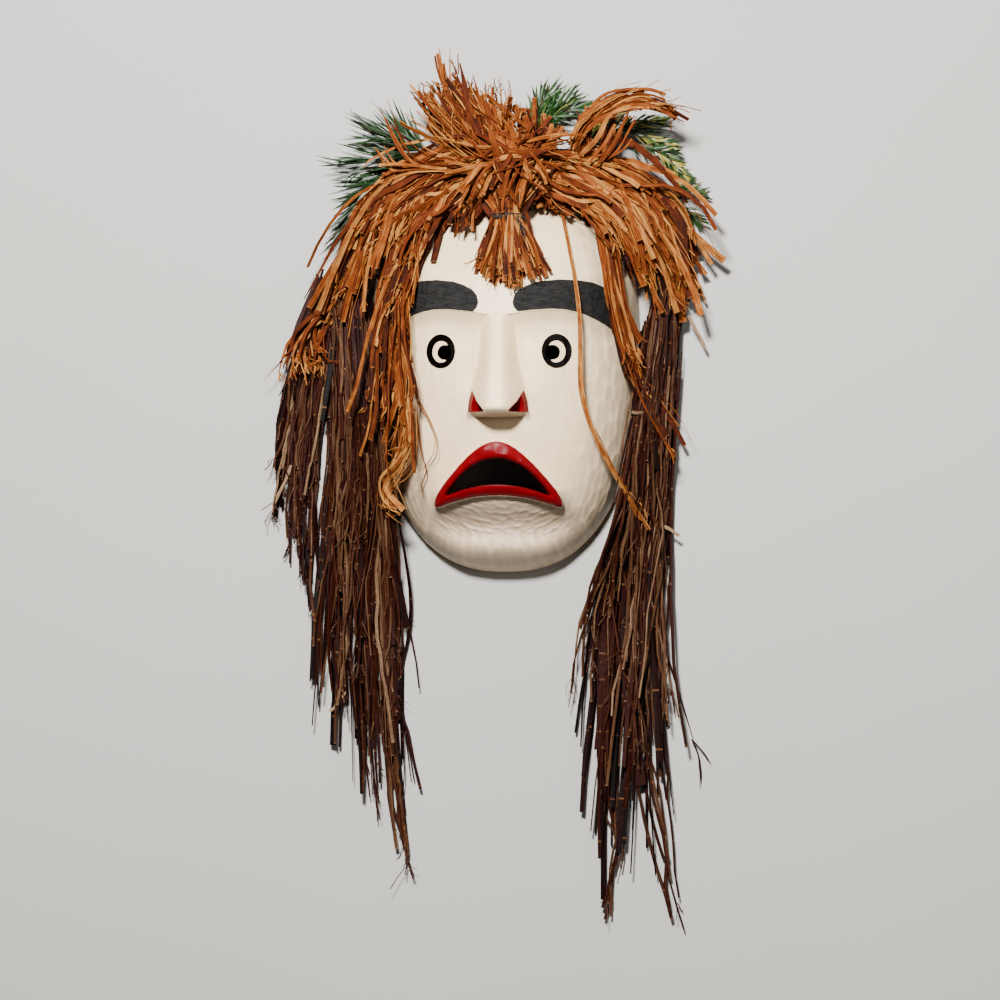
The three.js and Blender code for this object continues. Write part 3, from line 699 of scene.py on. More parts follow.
def face_points(form, sizes, columns):
    """Places of the face's grid, row by row from the chin."""
    spread = np.linspace(-1, 1, columns + 1)
    spread = np.sin((math.pi / 2) * spread * (0.6 + 0.4 * spread**2))
    rows = face_rows(form)
    points = np.zeros((len(rows), columns + 1, 3))
    for j, (start, kind) in enumerate(rows):
        y = np.full(columns + 1, float(start))
        pull = smooth(-60, BROW_EDGE, start) if start <= BROW_EDGE else 1 - smooth(BROW_EDGE, 100, start)
        for _ in range(4):
            x = spread * form.half_width_at(y)
            y = start + pull * (brow_line(x) - BROW_EDGE)
        middle = 1 - np.clip(np.abs(x) / 26, 0, 1) ** 2
        if kind == "tip":
            y = -55.5 - 2.0 * middle
        if kind == "foot":
            y = -59.3 - 1.3 * middle
        if kind in ("cheek", "tip"):
            z = form.cheek(x, y) + np.where(y > -59, np.maximum(form.nose(x, y), form.ledge(x, y)), 0)
        elif kind == "foot":
            z = form.cheek(x, y)
        elif kind == "under":
            z = form.cheek(x, y) + np.maximum(form.nose(x, y), form.ledge(x, y))
        else:
            z = np.maximum(form.forehead(x, y), form.cheek(x, y) + form.nose(x, y) * smooth(60, 20, y))
            z = z - (0.5 * smooth(10, 18, np.abs(x)) if kind == "edge" else 0)
        z = z - scoops(form, sizes, x, y) * (smooth(24, 32, np.abs(x)) if kind == "foot" else 1)
        z[0] = z[-1] = 0
        points[j] = np.stack([x, y, np.maximum(z, 0)], 1)
    return points


def scoops(form, sizes, x, y):
    """Depth of the knife marks: long ones down the sides, short ones across the chin, faint elsewhere."""
    long, wide, deep = (1000 * v for v in (sizes.mark_length, sizes.mark_width, sizes.mark_depth))
    around = 105 * np.arctan2(x, form.dome(x, y) + 25)
    sides = knife_marks(around / wide, y / long, 1)
    across = knife_marks((around + 0.4 * y) / (wide * 1.3), (y - 0.006 * x**2) / (wide * 0.55), 2)
    fanned = knife_marks(np.arctan2(x, 40 - y) * 30 + 0.02 * y, np.hypot(x, y + 20) / (long * 1.1), 3)
    under_lip = smooth(-120, -127, y) * smooth(-164, -152, y) * (1 - smooth(44, 66, np.abs(x)))
    chin = smooth(-136, -156, y)
    marks = mix(mix(sides, fanned, chin), across, under_lip)
    above = y - brow_line(x)
    brow = smooth(1, 5, above) * (1 - smooth(18, 24, above)) * smooth(12, 18, np.abs(x))
    strength = 0.22 + 0.7 * smooth(50, 88, np.abs(around)) + 0.45 * chin + 0.7 * under_lip + 0.3 * brow
    strength = np.clip(strength, 0, 1) * (1 - 0.8 * smooth(26, 16, np.abs(x)) * smooth(-66, -58, y))
    return deep * strength * (1.25 - marks) * smooth(0, 14, form.dome(x, y))


def shaped_grid(name, points):
    """A grid primitive whose points are moved to the given rows, closed below and facing out."""
    rows, columns, _ = points.shape
    clear_selection()
    bpy.ops.mesh.primitive_grid_add(x_subdivisions=columns - 1, y_subdivisions=rows - 1, size=2)
    piece = added(name)
    old = points_of(piece.data)
    i = np.rint((old[:, 0] + 1) / 2 * (columns - 1)).astype(int)
    j = np.rint((old[:, 1] + 1) / 2 * (rows - 1)).astype(int)
    set_points(piece.data, metres(points[j, i]))
    only(piece)
    bpy.ops.object.mode_set(mode="EDIT")
    bpy.ops.mesh.select_all(action="SELECT")
    bpy.ops.mesh.remove_doubles(threshold=1e-6)
    bpy.ops.mesh.select_all(action="DESELECT")
    bpy.ops.mesh.select_non_manifold()
    bpy.ops.mesh.edge_face_add()
    bpy.ops.mesh.select_all(action="SELECT")
    bpy.ops.mesh.quads_convert_to_tris()
    bpy.ops.mesh.normals_make_consistent(inside=False)
    bpy.ops.object.mode_set(mode="OBJECT")
    return piece


def closed_loft(name, rings, closed=False):
    """A solid through equal rings of points, capped at its ends unless it is closed on itself."""
    rings = np.asarray(rings, float)
    count, around, _ = rings.shape
    faces = []
    for k in range(count if closed else count - 1):
        here, there = k * around, ((k + 1) % count) * around
        for i in range(around):
            n = (i + 1) % around
            faces.append((here + i, here + n, there + n, there + i))
    if not closed:
        faces.append(tuple(reversed(range(around))))
        faces.append(tuple((count - 1) * around + i for i in range(around)))
    mesh = bpy.data.meshes.new(name)
    mesh.from_pydata(metres(rings.reshape(-1, 3)).tolist(), [], faces)
    piece = piece_of(name, mesh)
    bpy.ops.object.mode_set(mode="EDIT")
    bpy.ops.mesh.select_all(action="SELECT")
    bpy.ops.mesh.normals_make_consistent(inside=False)
    bpy.ops.mesh.quads_convert_to_tris()
    bpy.ops.object.mode_set(mode="OBJECT")
    return piece


def lip_ring(form, sizes):
    """The raised lips: a faceted roll around the mouth, with a narrow bevel on its outer edge."""
    outer = edge_loop(lip_edges, LIP_REACH, 140)
    inner = edge_loop(mouth_edges, 0.95 * MOUTH_REACH, 140) * (1, 0.95) + (0, -5.4)
    top = sizes.lip_height * 1000
    # Share of the way out from the mouth, and height over the face.
    profile = [(0, -9), (0.5, -9), (1, -9), (1, -3), (1, 2.6), (0.92, 3.0), (0.88, 0.8 * top)]
    profile += [(0.8, 0.97 * top), (0.64, top), (0.46, 0.93 * top), (0.3, 0.8 * top), (0.15, 0.6 * top)]
    profile += [(0.05, 0.4 * top), (0, 1.0)]
    rings = []
    for share, rise in profile:
        spot = mix(outer, inner, share)
        cut = 2.3 * (knife_marks(spot[:, 0] / 11, spot[:, 1] / 9, 8) - 0.4) * smooth(3, 5, rise)
        rings.append(np.column_stack([spot, form.dome(spot[:, 0], spot[:, 1]) + rise + cut]))
    return closed_loft("lips", np.stack(rings, 1), closed=True)


def column(name, outline, low, high):
    """An upright solid with the given outline and flat or sloping ends."""
    outline = np.asarray(outline, float)
    low = np.broadcast_to(low, len(outline))
    high = np.broadcast_to(high, len(outline))
    return closed_loft(name, [np.column_stack([outline, low]), np.column_stack([outline, high])])


def mouth_hole():
    return column("mouth_hole", edge_loop(mouth_edges, MOUTH_REACH, 96), 10, 150)


def nostril_hole(form, side):
    outline = [(side * x, y) for x, y in NOSTRIL]
    floor = float(form.cheek(np.array(20.0), np.array(-50.0)))
    deep = [floor + d for d in (9, 8, 6, 4, 4.5, 6)]
    return column("nostril", outline, deep, floor + 50)


def sight_hole(side):
    clear_selection()
    middle = metres([side * PUPIL[0], PUPIL[1], 90])
    bpy.ops.mesh.primitive_cylinder_add(vertices=48, radius=PUPIL[2] / 1000, depth=0.09, location=middle)
    bpy.ops.object.transform_apply(location=True, rotation=True, scale=True)
    return added("sight_hole")


def hollow(sizes):
    """The gouged hollow behind the face."""
    outer, inner = Form(sizes), Form(sizes, inset=sizes.wall * 1000)
    rows = [-inner.below * math.sin(t) for t in np.linspace(math.pi / 2, 0, 46)]
    rows += [inner.above * math.sin(t) for t in np.linspace(0.05, math.pi / 2, 34)]
    spread = np.sin(np.linspace(-math.pi / 2, math.pi / 2, 61))
    points = np.zeros((len(rows), len(spread), 3))
    for j, height in enumerate(rows):
        y = np.full(len(spread), height)
        x = spread * inner.half_width_at(y)
        dome = inner.dome(x, y)
        # Gouge marks are 13 mm wide and 26 mm long, and the wall follows the carving on the other side.
        gouge = 1.1 * knife_marks(x / 13 + 0.3 * y / 26, y / 26, 4)
        carved = np.maximum(0, outer.hollows(x, y))
        z = 1 + dome - (gouge + carved) * smooth(0, 20, dome)
        z[0] = z[-1] = -1
        points[j] = np.stack([x, y, z], 1)
    points[0, :, 2] = points[-1, :, 2] = -1
    return shaped_grid("hollow", points)


def brow_outline(side):
    """Outline of a painted brow, which runs a little over the carved edge."""
    upper = [(13.2, 31.5), (12.4, 35), (13.8, 41), (18.3, 46.2), (26, 50), (35, 52.8), (51.7, 54.5)]
    upper += [(68.3, 54), (79, 52.6), (88, 49.0), (96, 43), (102.5, 35.3), (108, 24), (112.5, 10.3)]
    upper += [(113, 5)]
    lower = [(x, float(brow_line(np.array(x))) + 0.7) for x in np.linspace(112, 17, 34)]
    # The viewer's left brow ends a little further from the nose.
    short = 3.5 if side < 0 else 0
    return [(side * (x + short * smooth(60, 20, x)), y) for x, y in upper + lower + [(14.8, 29.4)]]


def ellipse_distance(x, y, middle, half):
    stretch = np.hypot((x - middle[0]) / half[0], (y - middle[1]) / half[1])
    return (stretch - 1) * (half[0] + half[1]) / 2


def paint_distances(piece, form, sizes):
    """Stores on every point how far it is from the edge of each painted area, in millimetres."""
    points = (points_of(piece.data) - PLACE) * 1000
    x, y, z = points.T
    under_face = form.cheek(x, y) - z
    brow = np.minimum(outline_distance(x, y, brow_outline(1)), outline_distance(x, y, brow_outline(-1)))
    eye = np.full(x.shape, 1e3)
    bored = np.full(x.shape, 1e3)
    for side in (-1, 1):
        ring = ellipse_distance(x, y, (side * 48.5, -5), (12.5, 14.4))
        white = ellipse_distance(x, y, (side * 48.1, -5.4), (7.5, 9.0))
        pupil = np.hypot(x - side * PUPIL[0], y - PUPIL[1]) - PUPIL[2] - 0.5
        eye = np.minimum(eye, np.minimum(np.maximum(ring, -white), pupil))
        bored = np.minimum(bored, pupil)
    lips = outline_distance(x, y, edge_loop(lip_edges, LIP_REACH, 160)) + 0.8
    nostrils = np.full(x.shape, 1e3)
    for side in (-1, 1):
        corners = [(side * a, b) for a, b in NOSTRIL]
        nostrils = np.minimum(nostrils, outline_distance(x, y, corners) - 0.5)
    mouth = outline_distance(x, y, edge_loop(mouth_edges, MOUTH_REACH, 90)) - 1.5
    # A band above the mouth's upper edge takes the throat colour as painted shade on the inner slope of the
    # upper lip.
    upper_lip_shade = outline_distance(x, y, edge_loop(mouth_edges, MOUTH_REACH, 90) + (0, 2.6))
    throat_and_lip_shade = np.minimum(np.maximum(mouth, 0.5 - under_face), upper_lip_shade)
    point_values(piece.data, "brow_mm", brow)
    point_values(piece.data, "eye_mm", eye)
    point_values(piece.data, "red_mm", np.minimum(lips, nostrils))
    point_values(piece.data, "throat_and_lip_shade_mm", throat_and_lip_shade)
    bare = np.where(z < 0.2, 3.0 - 6 * (form.share(x, y) < 0.995), 6 - under_face)
    point_values(piece.data, "hollow_mm", np.where(bored < 0.2, 3.0, bare))
    deep = scoops(form, sizes, x, y) / (1000 * sizes.mark_depth)
    # Painted shade under the nose and under the lip is added to the marks as if they were deeper knife
    # marks.
    nose_shadow = 1.5 * smooth(-54.6, -56.0, y) * smooth(-64, -60, y) * (np.abs(x) < 27)
    under_lip = 0.9 * smooth(-125, -130, y) * smooth(-172, -150, y) * (1 - smooth(46, 70, np.abs(x)))
    point_values(piece.data, "mark_and_shade", deep + nose_shadow + under_lip)


class MASK_OT_carve_face(bpy.types.Operator):
    """Carves the face with its brows, nose, lips and holes, hollows it, and paints it"""

    bl_idname = "mask.carve_face"
    bl_label = "Carve and paint the face"

    def execute(self, context):
        sizes = context.scene.mask.carving
        form = Form(sizes)
        face = shaped_grid("painted_face", face_points(form, sizes, 248))
        combine(face, lip_ring(form, sizes), "UNION")
        cutters = [hollow(sizes), mouth_hole(), nostril_hole(form, 1), nostril_hole(form, -1)]
        cutters += [sight_hole(1), sight_hole(-1)]
        for cutter in cutters:
            combine(face, cutter, "DIFFERENCE")
        paint_distances(face, form, sizes)
        only(face)
        bpy.ops.object.shade_smooth_by_angle(angle=math.radians(16))
        place_piece(face, ["carved_face"], "painted_wood")
        return {"FINISHED"}


# Bark strips


def along_curve(points, share):
    """Places on smooth curves through rows of points, for shares from 0 to 1 of each curve."""
    first = 2 * points[:, :1] - points[:, 1:2]
    last = 2 * points[:, -1:] - points[:, -2:-1]
    padded = np.concatenate([first, points, last], 1)
    steps = points.shape[1] - 1
    place = np.clip(share, 0, 1) * steps
    k = np.minimum(place.astype(int), steps - 1)
    f = (place - k)[..., None]
    row = np.arange(len(points))[:, None]
    a, b, c, d = (padded[row, k + n] for n in range(4))
    return 0.5 * (2 * b + (c - a) * f + (2 * a - 5 * b + 4 * c - d) * f**2 + (3 * b - a - 3 * c + d) * f**3)


def between(guides, count, seed, spread, lift, root, bunch):
    """Paths scattered between neighbouring guide curves, in bunches torn from one piece of bark. Spread is
    sideways and lift upwards, in millimetres; at the root only a share of the spread is taken."""
    pick = np.random.default_rng(seed)
    guides = np.array(guides, float)
    count = max(1, round(count * bpy.context.scene.mask.bark.fullness))
    bunches = -(-count // bunch)
    share = (np.arange(bunches) + 0.5 + 0.6 * pick.uniform(-1, 1, bunches)) / bunches
    share = np.clip(share, 0, 1)[pick.permutation(bunches)] * (len(guides) - 1)
    k = np.minimum(share.astype(int), max(0, len(guides) - 2))
    f = (share - k)[:, None, None]
    paths = guides[k] if len(guides) == 1 else guides[k] * (1 - f) + guides[k + 1] * f
    free = np.linspace(root, 1, guides.shape[1])[None, :, None]
    steady = pick.normal(0, 0.6, (bunches, 1, 2))
    loose = pick.normal(0, 0.45, (bunches, guides.shape[1], 2))
    paths[..., :2] += spread * free * (steady + loose)
    paths[..., 2] += pick.uniform(lift[0], lift[1], (bunches, 1))
    paths[..., 2] += pick.normal(0, 0.12 * (lift[1] - lift[0]), paths.shape[:2])
    if bunch > 1:
        paths = np.repeat(paths, bunch, 0)[:count]
        aside = pick.normal(0, 1, (count, 1, 3)) * (2.6, 2.6, 0.8)
        paths += aside + pick.normal(0, 1, paths.shape) * (1.2, 1.2, 0.4)
    return paths


def strips(paths, seed, layer=flat_layer, width=(1.6, 4.4), thick=(0.5, 1.0), steps=12, start=(0.0, 0.05),
           stop=(0.82, 1.0), tilt=28, twist=40, wave=1.0, kink=0, wander=0, tone=(0.3, 0.75), ring=(16, 34),
           round_share=0.0, torn=0.25, tip=0.25):
    """Strips along the paths: their middle lines, directions, sizes and looks, ready to be made a mesh.

    Each pair is a least and a greatest value: widths, thicknesses and gaps between rings in millimetres,
    and start and stop in shares of the path. Tilt, twist, kink and wander are in degrees. Round share and
    torn are shares of the strips, and tip is what is left of the width of a torn one.
    """
    pick = np.random.default_rng(seed + 1000)
    count = len(paths)
    t = np.linspace(0, 1, steps + 1)[None, :]
    starts = pick.uniform(*start, (count, 1))
    stops = pick.uniform(*stop, (count, 1))
    middle = along_curve(paths, starts + (stops - starts) * t)
    middle[..., 2] += layer(middle[..., 0], middle[..., 1])
    outward, across = directions(middle, layer)
    phase = pick.uniform(0, 2 * math.pi, (count, 1))
    bend = wave * (np.sin(phase + 2 * math.pi * pick.uniform(0.5, 1.6, (count, 1)) * t) * t)
    # Dry bark breaks: past one place on its way a strip heads off to the side and a little up.
    reach = np.linalg.norm(np.diff(middle, axis=1), axis=2).sum(1, keepdims=True)
    past = np.maximum(0, t - pick.uniform(0.25, 0.85, (count, 1))) * reach
    aside = past * np.tan(np.radians(np.clip(pick.normal(0, 1, (count, 1)), -1.6, 1.6) * kink))
    up = past * np.tan(np.radians(np.abs(pick.normal(0, 0.5, (count, 1))) * kink))
    # Twigs change their heading a little at every node, and drift slowly off to the side.
    turns = pick.normal(0, wander, (count, steps + 1))
    heading = 0.4 * np.cumsum(turns, 1) + 1.5 * turns
    drift = np.cumsum(np.tan(np.radians(np.clip(heading, -40, 40))), 1) * reach / steps
    bend = bend + drift - t * (drift[:, -1:] - drift[:, :1]) - drift[:, :1]
    up = 0.3 * bend * np.cos(3 * phase) + up
    middle = middle + across * (bend + aside)[..., None] + outward * up[..., None]
    middle[..., 2] = np.maximum(middle[..., 2], FLOOR_GAP)
    outward, across = directions(middle, layer)
    angle = np.radians(pick.normal(0, tilt, (count, 1)) + pick.normal(0, twist, (count, 1)) * (t - 0.3))
    turned = outward * np.cos(angle)[..., None] - across * np.sin(angle)[..., None]
    across = across * np.cos(angle)[..., None] + outward * np.sin(angle)[..., None]
    wide = np.exp(pick.uniform(math.log(width[0]), math.log(width[1]), (count, 1)))
    deep = pick.uniform(*thick, (count, 1))
    is_round = (pick.uniform(0, 1, (count, 1)) < round_share).astype(float)
    deep = np.where(is_round > 0, wide * 0.9, np.minimum(deep, wide * 0.6))
    uneven = 1 + 0.1 * np.sin(phase * 3 + 9 * t) + 0.07 * np.sin(phase * 5 + 23 * t)
    is_torn = (pick.uniform(0, 1, (count, 1)) < torn).astype(float)
    taper = 1 - is_torn * (1 - tip) * smooth(0.72, 1.0, t)
    size = uneven * taper * mix(0.7, 1.0, smooth(0, 0.12, t))
    walked = np.cumsum(np.linalg.norm(np.diff(middle, axis=1), axis=2), 1)
    distance = np.concatenate([np.zeros((count, 1)), walked], 1)
    return {
        "middle": middle,
        "across": across,
        "outward": turned,
        "wide": wide * size,
        "deep": deep * np.minimum(1, size + 0.1),
        "round": is_round,
        "cup": pick.uniform(-0.16, 0.2, (count, 1)) * (1 - is_round),
        "distance": distance,
        "tone": pick.uniform(*tone, count),
        "ring": pick.uniform(*ring, count),
        "number": pick.uniform(0, 1, count),
    }


def directions(middle, layer):
    """Outwards from the layer that each strip lies on, and across the strip."""
    along = np.gradient(middle, axis=1)
    along /= np.linalg.norm(along, axis=2, keepdims=True) + 1e-9
    x, y = middle[..., 0], middle[..., 1]
    slope_x = layer(x - 1, y) - layer(x + 1, y)
    slope_y = layer(x, y - 1) - layer(x, y + 1)
    outward = np.stack([slope_x, slope_y, np.full(x.shape, 2.0)], 2)
    outward -= along * np.sum(outward * along, 2, keepdims=True)
    outward /= np.linalg.norm(outward, axis=2, keepdims=True) + 1e-9
    return outward, np.cross(along, outward)


def laid(guides, seed, layer=flat_layer, *, count, spread, lift, root=0.5, bunch=1, **look):
    """Strips of the given look, scattered between guide curves over a layer."""
    return strips(between(guides, count, seed, spread, lift, root, bunch), seed, layer, **look)


def frayed(batch, seed, share=0.35, each=4, long=(6, 18)):
    """Thin fibres that part at the ends of some of the strips."""
    pick = np.random.default_rng(seed + 2000)
    chosen = pick.uniform(0, 1, len(batch["middle"])) < share
    keys = ("middle", "across", "outward")
    middle, across, outward = (np.repeat(batch[key][chosen], each, 0) for key in keys)
    count = len(middle)
    along = middle[:, -1] - middle[:, -2]
    along /= np.linalg.norm(along, axis=1, keepdims=True) + 1e-9
    root = middle[:, -2] + across[:, -1] * pick.normal(0, 0.9, (count, 1))
    heading = along + across[:, -1] * pick.normal(0, 0.45, (count, 1))
    heading = heading + outward[:, -1] * pick.normal(0.1, 0.3, (count, 1))
    tip = root + heading * pick.uniform(*long, (count, 1))
    halfway = (root + tip) / 2 + pick.normal(0, 0.9, root.shape)
    look = {"width": (0.4, 1.1), "thick": (0.3, 0.45), "steps": 4, "tone": (0.4, 1.0), "wave": 0.8}
    return strips(np.stack([root, halfway, tip], 1), seed, **look)


def bark_mesh(name, batches):
    """One mesh of all the strips: each a closed bar with six corners round it, cupped flat or round."""
    points, faces, grain, lengths, tones = [], [], [], [], []
    total = 0
    for b in batches:
        count, stations, _ = b["middle"].shape
        half = b["wide"][..., None] / 2
        rise = b["deep"][..., None] / 2
        rounded = b["round"][..., None]
        cup = (b["cup"] * b["wide"])[..., None]
        corner_a = mix(1.0, 0.87, rounded)
        corner_b = mix(1.0, 0.5, rounded)
        ring = []
        for a, c in ((-1, -1), (0, -1), (1, -1), (1, 1), (0, 1), (-1, 1)):
            height = c * rise * (corner_b if a else 1.0) + (0 if a else cup)
            ring.append(b["middle"] + b["across"] * (a * corner_a * half) + b["outward"] * height)
        points.append(np.stack(ring, 2).reshape(-1, 3))
        points[-1][:, 2] = np.maximum(points[-1][:, 2], EDGE_GAP)
        side = np.array([-1, 0, 1, 1, 0, -1])[None, None, :] * half
        length_on = np.broadcast_to(b["distance"][..., None], side.shape)
        number = np.broadcast_to(b["number"][:, None, None] * 50, side.shape)
        grain.append(np.stack([side / 1000, length_on / 1000, number], 3).reshape(-1, 3))
        to_tip = np.broadcast_to((b["distance"][:, -1:] - b["distance"])[..., None], side.shape)
        spacing = np.broadcast_to(b["ring"][:, None, None], side.shape)
        lengths.append(np.stack([length_on, to_tip, spacing], 3).reshape(-1, 3))
        tones.append(np.broadcast_to(b["tone"][:, None, None], side.shape).ravel())
        start = total + np.arange(count)[:, None, None] * stations * 6
        here = start + np.arange(stations - 1)[None, :, None] * 6 + np.arange(6)[None, None, :]
        turned = start + np.arange(stations - 1)[None, :, None] * 6 + (np.arange(6)[None, None, :] + 1) % 6
        faces += np.stack([here, here + 6, turned + 6, turned], 3).reshape(-1, 4).tolist()
        caps = (total + np.arange(count)[:, None] * stations * 6 + np.arange(6)[None, :]).tolist()
        last = (stations - 1) * 6
        faces += caps + [[corner + last for corner in reversed(cap)] for cap in caps]
        total += count * stations * 6
    mesh = bpy.data.meshes.new(name)
    mesh.from_pydata(metres(np.concatenate(points)).tolist(), [], faces)
    point_vectors(mesh, "grain", np.concatenate(grain))
    for name, values in zip(("from_root", "to_tip", "ring_gap"), np.concatenate(lengths).T):
        point_values(mesh, name, values)
    point_values(mesh, "tone", np.concatenate(tones))
    return mesh


def lay(name, batches, nodes, slot):
    """Makes a piece of strips and puts it where the plain solid was."""
    piece = piece_of(name, bark_mesh(name, batches))
    bpy.ops.object.shade_smooth_by_angle(angle=math.radians(40))
    place_piece(piece, nodes, slot)


def current_form():
    return Form(bpy.context.scene.mask.carving)


class MASK_OT_wind_hairline_band(bpy.types.Operator):
    """Winds the twisted bark band along the top of the forehead"""

    bl_idname = "mask.wind_hairline_band"
    bl_label = "Wind the hairline band"

    def execute(self, context):
        form = current_form()
        stations = 60
        inside_rim = 0.93
        turn = np.linspace(math.pi - 0.3, 0.3, stations)
        reach = np.cos(turn)
        x = form.half_width * inside_rim * np.sign(reach) * np.abs(reach) ** (2 / CROWN_POWER)
        y = form.above * inside_rim * np.sin(turn) ** (2 / CROWN_POWER)
        slope_x = form.dome(x - 0.5, y) - form.dome(x + 0.5, y)
        slope_y = form.dome(x, y - 0.5) - form.dome(x, y + 0.5)
        out = np.column_stack([slope_x, slope_y, np.ones(stations)])
        out /= np.linalg.norm(out, axis=1, keepdims=True)
        middle = np.column_stack([x, y, form.dome(x, y)]) + out * BAND_RADIUS
        along = np.gradient(middle, axis=0)
        along /= np.linalg.norm(along, axis=1, keepdims=True)
        side = np.cross(along, out)
        pick = np.random.default_rng(5)
        paths = []
        for n in range(46):
            # The strips wind in three plies, the middle one the other way round.
            ply = n % 3
            phase = 2 * math.pi * n / 15 + 2.2 * ply
            roll = phase + np.linspace(0, (9 + ply) * math.pi, stations) * (-1 if ply == 1 else 1)
            far = (4.2, 3.2, 1.8)[ply] + 0.5 * np.sin(np.linspace(0, 20, stations) + n)
            path = middle + side * (far * np.cos(roll))[:, None] + out * (far * np.sin(roll))[:, None]
            paths.append(path + pick.normal(0, 0.15, (stations, 3)))
        look = {"width": (1.4, 3.0), "thick": (0.6, 1.0), "steps": 46, "tone": (0.05, 0.6), "torn": 0.3}
        wound = strips(np.array(paths), 3, stop=(0.9, 1), **look)
        loose = []
        for k in pick.integers(0, 56, 130):
            spots = middle[[k, min(k + 3, stations - 1), min(k + 6, stations - 1)]]
            loose.append(spots + pick.normal(0, 3.2, (3, 3)) + out[k] * 2)
        hairs = strips(np.array(loose), 4, width=(0.4, 0.9), thick=FINE, steps=6, tone=(0.1, 0.9), wave=2)
        lay("twisted_hairline_band", [wound, hairs], ["hairline_band"], "dark_bark")
        return {"FINISHED"}


class MASK_OT_tie_crown(bpy.types.Operator):
    """Ties the knot of crossing strips at the crown"""

    bl_idname = "mask.tie_crown"
    bl_label = "Tie the crown knot"

    def execute(self, context):
        pick = np.random.default_rng(11)
        middle_x, middle_y, middle_z = BUNDLE
        wrapped, crossing, draped = [], [], []
        for _ in range(150):
            angle = pick.uniform(0, math.pi)
            aside = pick.uniform(-17, 17)
            out = pick.uniform(19, 23)
            reach = math.sqrt(max(0.05, 1 - (aside / 24) ** 2))
            run = np.linspace(-1.25, 1.25, 6) * pick.uniform(0.75, 1.1)
            ahead = out * np.sin(run) * reach
            x = middle_x + ahead * math.cos(angle) - aside * math.sin(angle)
            y = middle_y + ahead * math.sin(angle) + aside * math.cos(angle)
            z = middle_z + 0.88 * out * np.cos(run) * reach
            wrapped.append(np.column_stack([x, y, z]))
        for _ in range(150):
            angle = pick.uniform(0, 2 * math.pi)
            ahead = np.array([math.cos(angle), 0.75 * math.sin(angle)])
            side = np.array([-ahead[1], ahead[0]]) * pick.normal(0, 11)
            back, front = pick.uniform(-22, 4), pick.uniform(22, 62)
            top = pick.uniform(62, 78)
            far = np.array([back, mix(back, front, 0.4), front])
            x = middle_x + far * ahead[0] + side[0]
            y = middle_y + far * ahead[1] + side[1]
            crossing.append(np.column_stack([x, y, [top - 6, top, top - pick.uniform(-6, 14)]]))
        for _ in range(26):
            start = np.array([middle_x + pick.normal(0, 16), 150 + pick.normal(0, 7), 80])
            fall = np.array([pick.normal(0, 18), -pick.uniform(12, 34), 9])
            draped.append([start, start + 0.5 * fall + (0, 0, pick.uniform(2, 8)), start + fall])
        look = {"thick": (0.6, 1.1), "steps": 9, "stop": (0.9, 1), "torn": 0.4}
        # The wrapped strips underneath take darker tones, as painted shade under the crossing strips.
        low = strips(np.array(wrapped), 12, width=(2.0, 5.5), tone=(-0.2, 0.3), **look)
        high = strips(np.array(crossing), 13, width=(1.8, 6.5), tone=(0.3, 0.9), kink=14, tilt=40, **look)
        front = strips(np.array(draped), 15, width=(1.8, 6.0), tone=(0.3, 0.85), kink=10, tilt=45, **look)
        batches = [low, high, front, frayed(high, 14, share=0.3)]
        lay("crown_knot", batches, ["crown_bundle"], "orange_bark")
        return {"FINISHED"}


# Guide curves of the hair, in millimetres: across, along, and height over the layer that they lie on.
FRINGE_LEFT = [
    [(-6, 155, 0), (-33, 137, 3), (-49, 112, 0), (-62, 80, -3)],
    [(-12, 159, 0), (-50, 140, 4), (-78, 108, 0), (-90, 46, -3)],
    [(-16, 161, 0), (-58, 142, 5), (-92, 112, 0), (-106, 82, -3)],
    [(-20, 163, 0), (-64, 144, 5), (-102, 110, 0), (-123, 58, -3)],
    [(-24, 165, 0), (-70, 147, 5), (-110, 110, 0), (-137, 26, -3)],
    [(-28, 166, 0), (-74, 151, 4), (-114, 115, 0), (-150, 20, -6)],
]
FRINGE_RIGHT = [
    [(15, 149, 0), (44, 136, 3), (74, 122, 0), (104, 98, -3)],
    [(22, 155, 0), (62, 139, 4), (98, 112, 0), (126, 66, -3)],
    [(27, 159, 0), (75, 144, 5), (114, 110, 0), (142, 32, -3)],
    [(32, 162, 0), (85, 150, 5), (128, 115, 0), (158, 36, -4)],
    [(36, 164, 0), (92, 156, 4), (136, 131, 0), (170, 76, -6)],
]
# Torn curls at the place where the outer side hair leaves the left fringe.
FRINGE_CURLS = [
    [(-128, 60, -6), (-150, 30, -6), (-160, 0, -6), (-152, -26, -6)],
    [(-132, 50, -6), (-160, 28, -6), (-178, 4, -8), (-176, -22, -8)],
]

# Short strips that hang over the top of the forehead.
CANOPY_LEFT = [
    [(4, 152, 0), (-6, 139, 2), (-16, 124, 0), (-22, 110, -4)],
    [(-2, 152, 0), (-20, 136, 2), (-36, 116, 0), (-46, 92, -4)],
]
CANOPY_RIGHT = [
    [(12, 150, 0), (24, 138, 2), (33, 122, 0), (38, 109, -4)],
    [(18, 152, 0), (40, 139, 2), (60, 126, 0), (76, 110, -4)],
]


